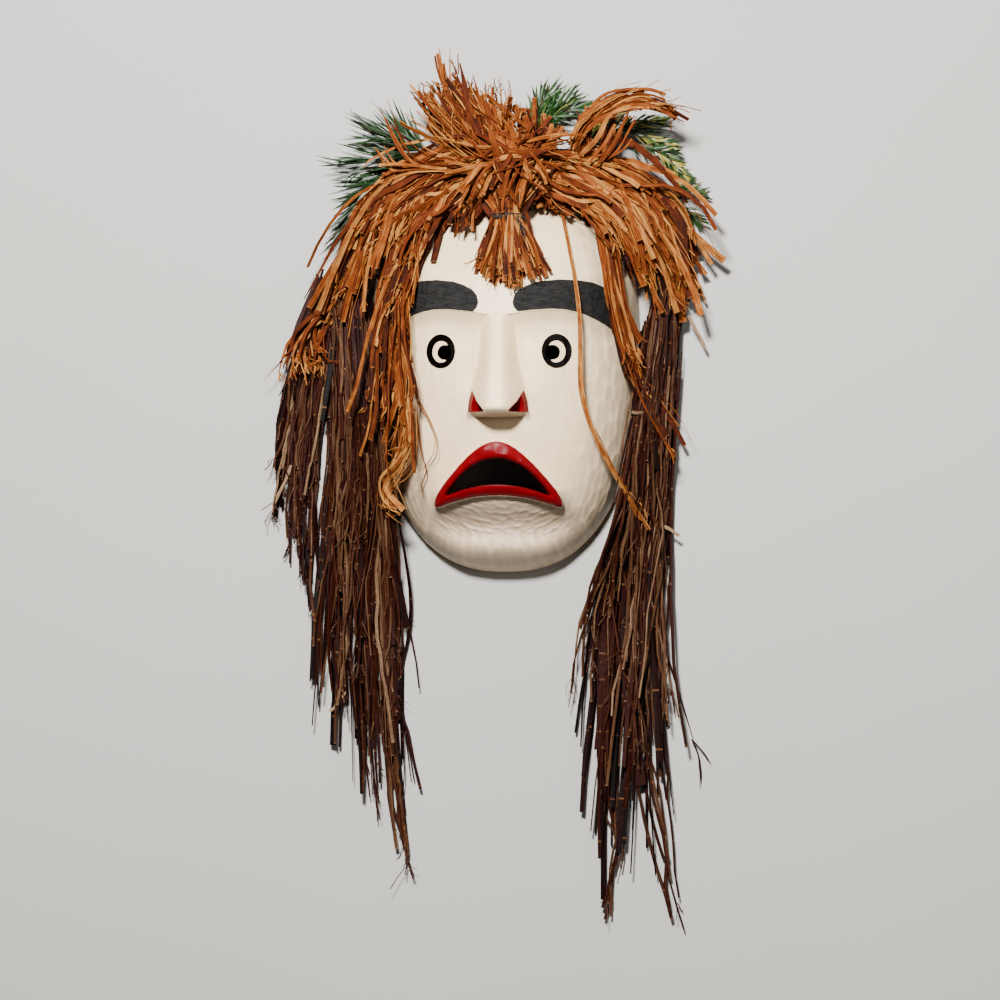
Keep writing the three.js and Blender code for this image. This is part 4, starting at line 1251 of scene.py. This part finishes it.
class MASK_OT_lay_fringes(bpy.types.Operator):
    """Lays the two halves of the orange bark fringe over the crown"""

    bl_idname = "mask.lay_fringes"
    bl_label = "Lay the fringes"

    def execute(self, context):
        over = current_form().over
        for name, node, guides, canopy, seed in (
            ("bark_fringe_left", "fringe_left", FRINGE_LEFT, CANOPY_LEFT, 20),
            ("bark_fringe_right", "fringe_right", FRINGE_RIGHT, CANOPY_RIGHT, 40),
        ):
            # The low strips take darker tones, as painted shade under the strips above them.
            low = laid(guides, seed, over, count=150, spread=6, lift=(-14, -5), bunch=3,
                       width=(2.4, 7.0), stop=(0.7, 1.0), tone=(-0.15, 0.3), kink=5)
            top = laid(guides, seed + 1, over, count=110, spread=7, lift=(-4, 10), bunch=2,
                       width=(2.2, 8.5), stop=(0.66, 1.06), tone=(0.2, 0.92), wave=2, kink=9, tilt=40,
                       wander=2.5)
            loose = laid(guides, seed + 5, over, count=70, spread=10, lift=(5, 15), root=1.4,
                         width=(1.8, 6.5), start=(0.05, 0.4), stop=(0.5, 0.9), tone=(0.3, 1.0), kink=14,
                         steps=9, tilt=45, wander=3)
            short = laid(guides, seed + 2, over, count=30, spread=10, lift=(2, 12), bunch=2,
                         width=(1.5, 5.0), stop=(0.3, 0.75), tone=(0.35, 0.95), wave=2, kink=16, steps=9,
                         tilt=40)
            hairs = laid(guides, seed + 3, over, count=80, spread=11, lift=(-6, 13), width=(0.4, 1.1),
                         thick=FINE, start=(0.1, 0.6), stop=(0.7, 1.08), tone=(0.4, 1.0), wave=5, kink=16,
                         steps=9)
            brim = laid(canopy, seed + 4, over, count=60, spread=7, lift=(-10, 6), bunch=3,
                        width=(2.0, 6.0), stop=(0.6, 1.08), tone=(0.1, 0.8), kink=14, steps=8, tilt=36,
                        torn=0.4)
            batches = [low, top, loose, frayed(top, seed + 6), short, hairs, brim]
            if node == "fringe_left":
                curls = laid(FRINGE_CURLS, 36, over, count=26, spread=6, lift=(-6, 6), bunch=2,
                             width=(1.4, 5.0), stop=(0.6, 1.0), tone=(0.1, 0.9), kink=18, tilt=45, twist=70,
                             wave=3, torn=0.5, wander=6)
                batches += [curls, frayed(curls, 37, share=0.7, each=5, long=(5, 14))]
            lay(name, batches, [node], "orange_bark")
        return {"FINISHED"}


# Guides of the sprays: the leaning fan at the crown with its upright middle and single wisps, and the arch
# beside it with upright strips of its own.
CROWN_SPRAY = [
    [(-19, 153, 60), (-51, 179, 58), (-79, 211, 54)],
    [(-13, 157, 62), (-41, 187, 60), (-63, 224, 56)],
    [(-7, 160, 64), (-28, 193, 62), (-41, 222, 58)],
    [(0, 161, 64), (-13, 193, 62), (-19, 227, 58)],
    [(6, 161, 64), (2, 189, 62), (2, 213, 58)],
]
CROWN_UPRIGHT = [
    [(4, 157, 62), (8, 183, 60), (10, 205, 58)],
    [(20, 157, 62), (23, 178, 60), (24, 203, 58)],
    [(37, 156, 62), (43, 176, 60), (50, 196, 58)],
]
CROWN_WISPS = [
    [(-19, 157, 62), (-45, 208, 60), (-54, 253, 58)],
    [(-26, 153, 62), (-75, 157, 60), (-105, 208, 56)],
    [(-17, 147, 64), (-82, 147, 60), (-106, 175, 56)],
    [(-9, 147, 66), (-68, 150, 66), (-108, 144, 60)],
]
ARCH = [
    [(56, 170, 58), (66, 191, 62), (87, 206, 64), (114, 211, 60), (137, 203, 52)],
    [(60, 162, 60), (75, 182, 64), (96, 196, 64), (126, 200, 60), (159, 187, 50)],
]
ARCH_UPRIGHT = [
    [(61, 153, 58), (63, 174, 58), (65, 200, 58)],
    [(82, 151, 58), (80, 174, 58), (82, 201, 58)],
    [(78, 149, 62), (105, 169, 62), (124, 203, 56)],
]


class MASK_OT_raise_sprays(bpy.types.Operator):
    """Raises the loose spray at the crown and the arched one beside it"""

    bl_idname = "mask.raise_sprays"
    bl_label = "Raise the sprays"

    def execute(self, context):
        leaning = laid(CROWN_SPRAY, 60, count=130, spread=8, lift=(-16, 5), bunch=4, width=(1.4, 4.6),
                       stop=(0.5, 1.04), tone=(0.14, 0.95), kink=10, steps=9, torn=0.4)
        upright = laid(CROWN_UPRIGHT, 61, count=56, spread=8, lift=(-14, 3), bunch=2, width=(1.8, 5.5),
                       stop=(0.45, 1.0), tone=(0.1, 0.75), kink=14, steps=8, tilt=40)
        hairs = laid(CROWN_SPRAY, 63, count=80, spread=15, lift=(-14, 6), width=(0.5, 1.3), thick=FINE,
                     stop=(0.5, 1.05), tone=(0.4, 1), kink=18, steps=8)
        spray = [leaning, frayed(leaning, 66, share=0.4), upright, hairs]
        for n, guide in enumerate(CROWN_WISPS):
            wisp = laid([guide], 70 + n, count=3 if n else 5, spread=3, lift=(-2, 2), width=(1.4, 3.2),
                        tone=(0.45, 0.95), kink=6, steps=9, torn=0.7)
            spray.append(wisp)
        lay("crown_spray_bark", spray, ["crown_spray"], "orange_bark")
        arched = laid(ARCH, 80, count=28, spread=4, lift=(-7, 5), bunch=2, width=(1.8, 5.0),
                      start=(0, 0.35), stop=(0.6, 1.02), tone=(0.2, 0.9), kink=5, steps=13)
        upright = laid(ARCH_UPRIGHT, 81, count=26, spread=7, lift=(-12, 2), bunch=2, width=(1.6, 5.5),
                       stop=(0.6, 1.0), tone=(0.25, 0.9), kink=8, steps=8)
        hairs = laid(ARCH, 82, count=12, spread=7, lift=(-6, 6), width=(0.5, 1.2), thick=FINE,
                     stop=(0.5, 1.05), tone=(0.5, 1), kink=14, steps=10)
        arch = [arched, frayed(arched, 84, share=0.4), upright, hairs]
        lay("arched_spray_bark", arch, ["arch_spray"], "orange_bark")
        return {"FINISHED"}


# Guides of the cheek lock, of the curl at its end and the two fibres that come off it, of the temple lock,
# and of the single strand.
CHEEK = [
    [(-44, 142, 0), (-74, 102, 0), (-89, 63, 0), (-98, 14, 0), (-95, -45, 0), (-100, -104, 0)],
    [(-39, 137, 0), (-65, 97, 0), (-81, 54, 0), (-87, 4, 0), (-82, -54, 0), (-87, -112, 0)],
    [(-36, 135, 0), (-58, 94, 0), (-74, 54, 0), (-81, 20, 0), (-76, -29, 0), (-77, -79, 0)],
]
CURL = [[(-74, -50, 4), (-75, -79, 6), (-83, -100, 8), (-95, -115, 8), (-95, -131, 7), (-84, -142, 6)]]
LOOSE_FIBRES = [
    [(-72, -38, 0), (-60, -58, 0), (-53, -75, 0), (-53, -88, 0), (-58, -97, 0), (-66, -104, 0)],
    [(-68, -52, 0), (-67, -75, 0), (-64, -92, 0), (-61, -104, 0), (-67, -116, 0), (-65, -127, 0)],
]
TEMPLE = [
    [(75, 133, 0), (87, 76, 0), (95, 22, 0), (107, -26, 0), (121, -61, 0), (137, -97, 0)],
    [(80, 133, 0), (93, 77, 0), (102, 26, 0), (116, -17, 0), (133, -46, 0), (153, -84, 0)],
]
STRAND = [
    [(46, 137, 0), (61, 69, 0), (67, 29, 0), (68, -6, 0), (70, -42, 2), (82, -79, 5), (104, -120, 9)]
    + [(125, -155, 9)]
]


class MASK_OT_hang_locks(bpy.types.Operator):
    """Hangs the orange locks beside the face and the single strand across the cheek"""

    bl_idname = "mask.hang_locks"
    bl_label = "Hang the locks"

    def execute(self, context):
        over = current_form().over
        low = laid(CHEEK, 90, over, count=60, spread=4, lift=(-12, -4), bunch=3, width=(2.0, 6.0),
                   stop=(0.5, 0.95), steps=16, tone=(0.05, 0.6), kink=4)
        high = laid(CHEEK, 91, over, count=54, spread=6, lift=(-7, 4), bunch=2, width=(1.6, 5.5),
                    stop=(0.35, 1.0), steps=18, tone=(0.1, 1.0), wave=2, kink=9, tilt=42, wander=2.5)
        hairs = laid(CHEEK[1:], 92, over, count=44, spread=7, lift=(-12, 2), width=(0.4, 1.0), thick=FINE,
                     start=(0.2, 0.6), stop=(0.6, 1.12), tone=(0.5, 1), wave=8, kink=8)
        curl = laid(CURL, 93, over, count=14, spread=5, lift=(-6, 2), width=(2.0, 5.0), thick=(0.7, 1.2),
                    stop=(0.85, 1.0), steps=20, tone=(0.45, 1.1), tilt=30, twist=35)
        curl_hairs = laid(CURL, 95, over, count=22, spread=7, lift=(-6, 2), width=(0.4, 1.2), thick=FINE,
                          stop=(0.7, 1.08), steps=16, tone=(0.6, 1.0), wave=5)
        cheek = [low, high, frayed(high, 94, share=0.5), hairs, curl, curl_hairs]
        for k, guide in enumerate(LOOSE_FIBRES):
            fibres = laid([guide], 96 + k, over, count=2, spread=0.8, lift=(-13, -11), width=(0.5, 0.8),
                          thick=FINE, start=(0, 0), stop=(0.9, 1), steps=20, tone=(0.5, 0.8), wave=1)
            cheek.append(fibres)
        lay("cheek_lock_bark", cheek, ["cheek_lock"], "orange_bark")
        low = laid(TEMPLE, 100, over, count=20, spread=1.8, lift=(-12, -4), bunch=2, width=(2.0, 5.5),
                   stop=(0.4, 1.0), steps=16, tone=(0.0, 0.7), kink=3, wander=1.5)
        high = laid(TEMPLE, 101, over, count=13, spread=2.4, lift=(-8, 2), bunch=2, width=(1.4, 4.6),
                    stop=(0.45, 1.04), steps=16, tone=(0.35, 0.95), wave=2, kink=6)
        hairs = laid(TEMPLE, 102, over, count=12, spread=4, lift=(-10, 3), width=(0.4, 1.0), thick=FINE,
                     start=(0.2, 0.6), stop=(0.6, 1.0), tone=(0.5, 1), wave=3, kink=6)
        temple = [low, high, frayed(high, 104, share=0.5), hairs]
        lay("temple_lock_bark", temple, ["temple_lock"], "orange_bark")
        strand = laid(STRAND, 105, over, count=1, spread=0.1, lift=(-6, -5), width=(3.6, 3.8),
                      thick=(0.8, 0.9), stop=(0.99, 1), steps=40, tone=(0.78, 0.88), tilt=5, twist=60)
        split = laid(STRAND, 106, over, count=2, spread=1.5, lift=(-7, -5), width=(0.8, 1.5),
                     thick=(0.4, 0.5), start=(0.6, 0.7), stop=(0.95, 1), steps=20, tone=(0.6, 0.9), wave=4)
        lay("face_strand_bark", [strand, split], ["face_strand"], "orange_bark")
        return {"FINISHED"}


# The forelock is gathered where its guides are close together, and fans out below.
FORELOCK = [
    [(-36, 158, 62), (-20, 136, 72), (-2, 116, 79), (-1, 107, 81), (-9, 84, 93), (-22, 54, 100)],
    [(-12, 164, 66), (-3, 140, 76), (4, 118, 84), (4, 107, 86), (2, 82, 100), (-6, 48, 108)],
    [(9, 164, 68), (9, 140, 78), (8, 118, 87), (8, 107, 88), (9, 82, 103), (10, 46, 111)],
    [(30, 162, 66), (20, 140, 76), (12, 118, 84), (12, 107, 86), (17, 82, 100), (26, 48, 108)],
    [(52, 156, 62), (36, 136, 72), (18, 116, 79), (17, 107, 81), (29, 84, 93), (44, 55, 100)],
]


class MASK_OT_tie_forelock(bpy.types.Operator):
    """Gathers the forelock in the middle of the forehead and winds its thread"""

    bl_idname = "mask.tie_forelock"
    bl_label = "Tie the forelock"

    def execute(self, context):
        brush = laid(FORELOCK, 110, count=150, spread=2.8, lift=(-11, 2), root=1.6, width=(2.2, 5.0),
                     stop=(0.87, 1.0), steps=15, tone=(0.06, 0.98), wave=0.8, torn=0, tilt=40)
        hairs = laid(FORELOCK, 111, count=36, spread=2.5, lift=(-3, 3), root=2, width=(0.5, 1.4),
                     thick=FINE, stop=(0.86, 1.05), steps=14, tone=(0.5, 1), wave=1.5)
        lock = [brush, frayed(brush, 112, share=0.3, long=(4, 11)), hairs]
        lay("forelock_bark", lock, ["forelock"], "orange_bark")
        turns = 4
        steps = turns * 30
        turn = np.linspace(0, 2 * math.pi * turns, steps)
        rise = np.linspace(-2.0, 2.0, steps) + 0.5 * np.sin(turn * 0.37)
        x, y, z = TIE
        path = np.column_stack([x + 13.4 * np.cos(turn), y + rise, z + 9.0 * np.sin(turn)])
        still = {"start": (0, 0), "stop": (1, 1), "wave": 0, "tilt": 0, "twist": 0, "torn": 0}
        wound = strips(path[None], 115, width=(1.3, 1.3), steps=steps, round_share=1.1, **still)
        ends = laid([THREAD_END], 116, count=3, spread=2, lift=(0, 1), width=(0.8, 1.0), round_share=1.1,
                    steps=10)
        lay("forelock_thread", [wound, ends], ["forelock_tie"], "thread")
        return {"FINISHED"}


# Guides of the six bunches of side hair, outermost first.
SIDE_HAIR = {
    "side_hair_left_outer": [
        [(-161, 32, 0), (-185, -19, 0), (-194, -78, 0), (-199, -146, 0)],
        [(-152, 27, 0), (-174, -43, 0), (-182, -112, 0), (-178, -198, 0)],
        [(-141, 23, 0), (-161, -60, 0), (-166, -146, 0), (-163, -249, 0)],
    ],
    "side_hair_left_middle": [
        [(-150, 30, 4), (-147, -69, 4), (-152, -181, 4), (-157, -311, 2)],
        [(-140, 30, 6), (-130, -86, 6), (-137, -215, 6), (-137, -377, 4)],
        [(-128, 26, 4), (-115, -86, 6), (-123, -232, 6), (-109, -411, 4)],
    ],
    "side_hair_left_inner": [
        [(-128, 28, 0), (-112, -103, 0), (-116, -249, 0), (-106, -387, 0)],
        [(-122, 20, 0), (-106, -112, 0), (-106, -258, 0), (-86, -464, 0)],
        [(-116, -10, 0), (-98, -129, 0), (-92, -223, 0), (-90, -292, 0)],
    ],
    "side_hair_right_outer": [
        [(150, 20, 0), (138, -78, 0), (130, -215, 0), (136, -387, 0)],
        [(146, 20, 0), (133, -78, 0), (125, -215, 0), (146, -504, 0)],
        [(140, 16, 0), (127, -86, 0), (120, -232, 0), (128, -378, 0)],
    ],
    "side_hair_right_middle": [
        [(143, 20, 5), (125, -86, 6), (119, -215, 6), (116, -378, 4)],
        [(142, 16, 6), (118, -95, 7), (111, -224, 7), (93, -477, 5)],
        [(132, 10, 5), (110, -95, 6), (100, -232, 6), (100, -421, 4)],
    ],
    "side_hair_right_inner": [
        [(134, 10, 0), (116, -119, 0), (97, -249, 0), (87, -494, 0)],
        [(130, 0, 0), (110, -110, 0), (85, -232, 0), (80, -447, 0)],
        [(124, -16, 0), (104, -116, 0), (77, -218, 0), (62, -365, 0)],
    ],
}
# The few stems that reach furthest down.
LONG_STEMS = {
    "side_hair_left_middle": [[(-128, 0, 6), (-118, -120, 6), (-116, -260, 6), (-110, -412, 3)]],
    "side_hair_left_inner": [
        [(-112, 0, 4), (-102, -180, 4), (-97, -330, 4), (-91, -392, 3), (-79, -464, 2)],
    ],
    "side_hair_right_outer": [
        [(150, 0, 4), (130, -180, 4), (117, -301, 4), (130, -390, 3), (150, -505, 2)],
    ],
    "side_hair_right_inner": [
        [(124, -20, 4), (96, -180, 4), (85, -350, 4), (95, -425, 3), (83, -494, 2)],
    ],
}
# Short peeled sticks.
PALE_STICKS = {
    "side_hair_left_outer": [(-184, -98, 12), (-191, -116, 12), (-199, -134, 12)],
    "side_hair_left_middle": [(-137, -294, 12), (-143, -302, 12), (-151, -311, 12)],
    "side_hair_right_outer": [(157, 28, 16), (164, 15, 16), (172, 2, 14)],
    "side_hair_right_middle": [(132, -150, 14), (141, -154, 14), (150, -159, 13)],
    "side_hair_right_inner": [(110, -55, 18), (116, -56, 18), (123, -56, 17)],
}
# Broad flat strips that lie on top.
BROAD_STRIPS = {
    "side_hair_left_middle": [
        [(-141, -60, 9), (-141, -112, 9), (-141, -180, 9), (-143, -249, 9), (-139, -300, 8)],
        [(-131, -40, 9), (-131, -61, 9), (-130, -129, 9), (-132, -180, 9), (-132, -200, 9)],
    ],
    "side_hair_left_inner": [
        [(-99, -150, 8), (-99, -197, 8), (-100, -249, 8), (-102, -290, 8), (-104, -310, 8)],
    ],
    "side_hair_right_inner": [
        [(96, -160, 8), (92, -215, 8), (87, -258, 8), (84, -300, 8), (82, -343, 8)],
    ],
    "side_hair_right_middle": [
        [(99, -240, 9), (102, -275, 9), (106, -300, 9), (111, -335, 9), (114, -373, 8)],
    ],
}
# A twig at the outer right, and the two ends of its fork.
FORKED_TWIG = [
    [(129, -206, 6), (136, -249, 6), (145, -283, 4), (160, -334, 2)],
    [(160, -334, 2), (166, -348, 2), (167, -360, 2), (166, -375, 2)],
    [(160, -334, 2), (166, -341, 2), (171, -346, 2), (178, -355, 2)],
]


def side_bunch(guides, seed, beside):
    """Dark strips below, then flat ones, stems, twigs, bent stems and short pieces, some frayed."""
    # The dark strips below take the darkest tones, as painted shade under the rest of the bunch.
    dark = laid(guides, seed, beside, count=38, spread=5, lift=(-2, 3), bunch=2, width=(2.2, 6.0),
                thick=(0.6, 1.1), stop=(0.5, 0.98), steps=14, tone=(-0.05, 0.25), twist=50, wave=1.5,
                kink=2, wander=0.8, torn=0.6, tip=0.4)
    flat = laid(guides, seed + 5, beside, count=18, spread=5, lift=(1, 7), width=(2.4, 6.5),
                thick=(0.6, 1.1), stop=(0.4, 1.0), steps=14, tone=(0.15, 0.65), ring=(14, 30), twist=60,
                wave=2, kink=3, wander=1.4, torn=0.5, tip=0.4)
    stems = laid(guides, seed + 1, beside, count=28, spread=5, lift=(1, 11), width=(1.5, 3.4),
                 stop=(0.3, 1.0), steps=18, tone=(0.3, 0.95), ring=(12, 26), round_share=0.8, wave=2,
                 kink=3, wander=2.6, tip=0.5)
    twigs = laid(guides, seed + 3, beside, count=18, spread=5, lift=(2, 13), width=(0.9, 1.9), steps=18,
                 stop=(0.3, 0.9), tone=(0.35, 1.0), ring=(14, 26), round_share=1, wave=2, kink=2, wander=3)
    bent = laid(guides, seed + 4, beside, count=9, spread=4, lift=(8, 14), width=(1.4, 3.0), steps=14,
                start=(0.1, 0.4), stop=(0.5, 0.9), tone=(0.6, 1.15), ring=(14, 30), round_share=0.6, kink=8,
                wander=3.5, torn=0.5, tip=0.5)
    short = laid(guides, seed + 2, beside, count=34, spread=6, lift=(0, 8), width=(1.8, 5.0), steps=8,
                 stop=(0.12, 0.45), tone=(0.0, 0.7), kink=7, wander=1.5, torn=0.5)
    ends = [frayed(stems, seed + 9, share=0.2), frayed(flat, seed + 8, share=0.3)]
    ends += [frayed(bent, seed + 4, share=0.6)]
    return [dark, flat, stems, twigs, bent, short] + ends


class MASK_OT_hang_side_hair(bpy.types.Operator):
    """Hangs the long dark strips and twigs on both sides"""

    bl_idname = "mask.hang_side_hair"
    bl_label = "Hang the side hair"

    def execute(self, context):
        beside = current_form().beside
        for number, (node, guides) in enumerate(SIDE_HAIR.items()):
            seed = 200 + 10 * number
            # Their roots are tucked in under the fringe.
            guides = [[(0.98 * x, y + 34, z), *rest] for (x, y, z), *rest in guides]
            batches = side_bunch(guides, seed, beside)
            if node in LONG_STEMS:
                long = laid(LONG_STEMS[node], seed + 6, beside, count=7, spread=3, lift=(0, 5), bunch=2,
                            width=(1.6, 3.6), stop=(0.82, 1.0), steps=20, tone=(0.3, 0.9), ring=(14, 28),
                            round_share=0.6, wave=1.5, wander=2, torn=0.4, tip=0.5)
                batches += [long, frayed(long, seed + 7, share=0.6, each=2, long=(8, 20))]
            if node in PALE_STICKS:
                stick = laid([PALE_STICKS[node]], seed, beside, **ALONE, width=(2.0, 2.6), stop=(1, 1),
                             tone=(1.4, 1.5), twist=10, torn=0)
                batches.append(stick)
            for k, guide in enumerate(BROAD_STRIPS.get(node, [])):
                broad = laid([guide], seed + 4 + k, beside, **ALONE, width=(10, 12), thick=(0.9, 1.1),
                             start=(0, 0), stop=(1, 1), steps=24, tone=(0.36, 0.6), ring=(10, 18), tilt=4,
                             twist=10, torn=0)
                batches.append(broad)
            if node == "side_hair_right_outer":
                for k, guide in enumerate(FORKED_TWIG):
                    thin = 2.2 - 0.5 * k
                    fork = laid([guide], seed + 7 + k, beside, **ALONE, width=(thin, thin), start=(0, 0),
                                stop=(1, 1), round_share=1.1, torn=1.1, tone=(0.4, 0.6))
                    batches.append(fork)
            lay(node + "_bark", batches, [node], "dark_bark")
        return {"FINISHED"}


# Twigs of each sprig.
SPRIGS = {
    "sprig_left": [
        [(-10, 166, 12), (-72, 170, 16), (-126, 160, 14)],
        [(-50, 168, 14), (-90, 156, 16), (-120, 138, 14)],
        [(-60, 168, 14), (-86, 180, 14), (-102, 184, 12)],
        [(-90, 160, 12), (-118, 136, 14), (-134, 110, 10)],
    ],
    "sprig_crown": [
        [(14, 178, 12), (34, 196, 16), (52, 212, 14)],
        [(20, 184, 14), (44, 200, 18), (66, 208, 14)],
        [(20, 184, 14), (28, 204, 16), (36, 218, 12)],
    ],
    "sprig_right": [
        [(40, 166, 12), (96, 186, 16), (140, 176, 12)],
        [(70, 176, 12), (108, 192, 14), (130, 194, 10)],
        [(96, 180, 12), (132, 168, 16), (152, 150, 12)],
        [(60, 170, 12), (82, 192, 14), (94, 204, 10)],
    ],
    "sprig_low_right": [
        [(122, 128, 10), (146, 122, 12), (164, 112, 9)],
        [(136, 126, 10), (154, 134, 12), (166, 134, 9)],
    ],
}
# For each sprig: needles on a twig, their lengths in millimetres, and their tones from dark to bud yellow.
NEEDLES = {
    # The left sprig's needles keep to dark tones, as painted shade.
    "sprig_left": (70, (28, 46), (0.14, 0.42)),
    "sprig_crown": (46, (18, 28), (0.18, 0.8)),
    "sprig_right": (80, (12, 20), (0.2, 1.0)),
    "sprig_low_right": (40, (12, 20), (0.2, 0.8)),
}


def needle_paths(curve, count, reach, pick):
    """Roots and tips of the needles that stand all round a twig, lying closer to it towards its tip."""
    share = np.sort(pick.uniform(0.15, 1.0, (1, count)))
    here = along_curve(curve[None], share)[0]
    ahead = along_curve(curve[None], share + 0.02)[0] - along_curve(curve[None], share - 0.02)[0]
    ahead /= np.linalg.norm(ahead, axis=1, keepdims=True) + 1e-9
    turn = pick.uniform(0, 2 * math.pi, count)
    side = np.column_stack([-ahead[:, 1], ahead[:, 0], np.zeros(count)])
    up = np.cross(ahead, side)
    lean = mix(0.95, 0.35, share[0]) * pick.uniform(0.7, 1.2, count)
    away = side * np.cos(turn)[:, None] + up * (0.6 * np.sin(turn))[:, None]
    heading = ahead * np.cos(lean)[:, None] + away * np.sin(lean)[:, None]
    return here, here + heading * pick.uniform(*reach, count)[:, None]


class MASK_OT_set_sprigs(bpy.types.Operator):
    """Sets the conifer sprigs in the crown"""

    bl_idname = "mask.set_sprigs"
    bl_label = "Set the sprigs"

    def execute(self, context):
        width = context.scene.mask.green.needle_width * 1000
        for number, (node, twigs) in enumerate(SPRIGS.items()):
            count, reach, tone = NEEDLES[node]
            seed = 300 + number
            pick = np.random.default_rng(seed)
            curves = np.array(twigs, float)
            stalks = strips(curves, seed, width=(2.2, 3.0), start=(0, 0), stop=(1, 1), steps=14,
                            round_share=1.1, tone=(0.0, 0.04), torn=1.1, wave=0.5)
            grown = [needle_paths(curve, count, reach, pick) for curve in curves]
            roots, tips = (np.concatenate(ends) for ends in zip(*grown))
            bend = pick.normal(0, 0.9, roots.shape)
            paths = np.stack([roots, (roots + tips) / 2 + bend, tips], 1)
            paths[..., 2] = np.maximum(paths[..., 2], 1.2)
            needles = strips(paths, seed + 5, width=(width * 0.8, width * 1.15), thick=(0.5, 0.7), steps=4,
                             start=(0, 0), stop=(0.95, 1), torn=1.1, tip=0.12, tone=tone, wave=0)
            lay(node + "_greenery", [stalks, needles], [node], "foliage")
        return {"FINISHED"}


# Stage


def soft_lamp(name, place, aim, size, power):
    clear_selection()
    bpy.ops.object.light_add(type="AREA", location=place)
    lamp = bpy.context.active_object
    lamp.name = name
    lamp.data.shape = "DISK"
    lamp.data.size = size
    lamp.data.energy = power
    lamp.rotation_euler = (Vector(aim) - Vector(place)).to_track_quat("-Z", "Y").to_euler()


class MASK_OT_set_stage(bpy.types.Operator):
    """Sets the floor, lamps and camera"""

    bl_idname = "mask.set_stage"
    bl_label = "Set the stage"

    def execute(self, context):
        studio = context.scene.mask.studio
        clear_selection()
        bpy.ops.mesh.primitive_plane_add(size=8)
        floor = added("studio_floor")
        floor.data.materials.append(studio_board(studio))
        soft_lamp("key_lamp", (-0.14, 0.88, 1.79), aim=(0, 0.05, 0), size=0.27, power=studio.key_power)
        soft_lamp("fill_lamp", (1.0, 0.1, 0.9), aim=(0, 0, 0), size=1.2, power=studio.fill_power)
        world = context.scene.world or bpy.data.worlds.new("studio_light")
        context.scene.world = world
        world.use_nodes = True
        background = next(node for node in world.node_tree.nodes if node.type == "BACKGROUND")
        background.inputs["Color"].default_value = studio.sky_light
        background.inputs["Strength"].default_value = studio.sky
        clear_selection()
        bpy.ops.object.camera_add(location=studio.camera)
        camera = bpy.context.active_object
        camera.name = "studio_camera"
        camera.data.lens = studio.lens
        camera.data.sensor_width = 36
        camera.data.clip_start = 0.05
        back = (Vector(studio.camera) - Vector(studio.aim)).normalized()
        right = Vector((0, 1, 0)).cross(back).normalized()
        camera.rotation_euler = Matrix((right, back.cross(right), back)).transposed().to_euler()
        context.scene.camera = camera
        return {"FINISHED"}


OPERATORS = (
    MASK_OT_set_stage,
    MASK_OT_carve_face,
    MASK_OT_wind_hairline_band,
    MASK_OT_tie_crown,
    MASK_OT_lay_fringes,
    MASK_OT_raise_sprays,
    MASK_OT_hang_locks,
    MASK_OT_tie_forelock,
    MASK_OT_hang_side_hair,
    MASK_OT_set_sprigs,
)


class MASK_PT_panel(bpy.types.Panel):
    """Lists the steps that dress the mask"""

    bl_idname = "MASK_PT_panel"
    bl_label = "Ceremonial mask"
    bl_space_type = "VIEW_3D"
    bl_region_type = "UI"
    bl_category = "Mask"

    def draw(self, context):
        for operator in OPERATORS:
            self.layout.operator(operator.bl_idname)
        self.layout.prop(context.scene.mask.bark, "fullness")


SETTINGS = (CarvingSettings, PaintSettings, BarkSettings, GreenSettings, StudioSettings, MaskSettings)


def register():
    for cls in SETTINGS + OPERATORS + (MASK_PT_panel,):
        bpy.utils.register_class(cls)
    bpy.types.Scene.mask = bpy.props.PointerProperty(type=MaskSettings)


def unregister():
    del bpy.types.Scene.mask
    for cls in reversed(SETTINGS + OPERATORS + (MASK_PT_panel,)):
        bpy.utils.unregister_class(cls)


def main():
    register()
    bpy.ops.mask.set_stage()
    bpy.ops.mask.carve_face()
    bpy.ops.mask.wind_hairline_band()
    bpy.ops.mask.tie_crown()
    bpy.ops.mask.lay_fringes()
    bpy.ops.mask.raise_sprays()
    bpy.ops.mask.hang_locks()
    bpy.ops.mask.tie_forelock()
    bpy.ops.mask.hang_side_hair()
    bpy.ops.mask.set_sprigs()


if __name__ == "__main__":
    main()
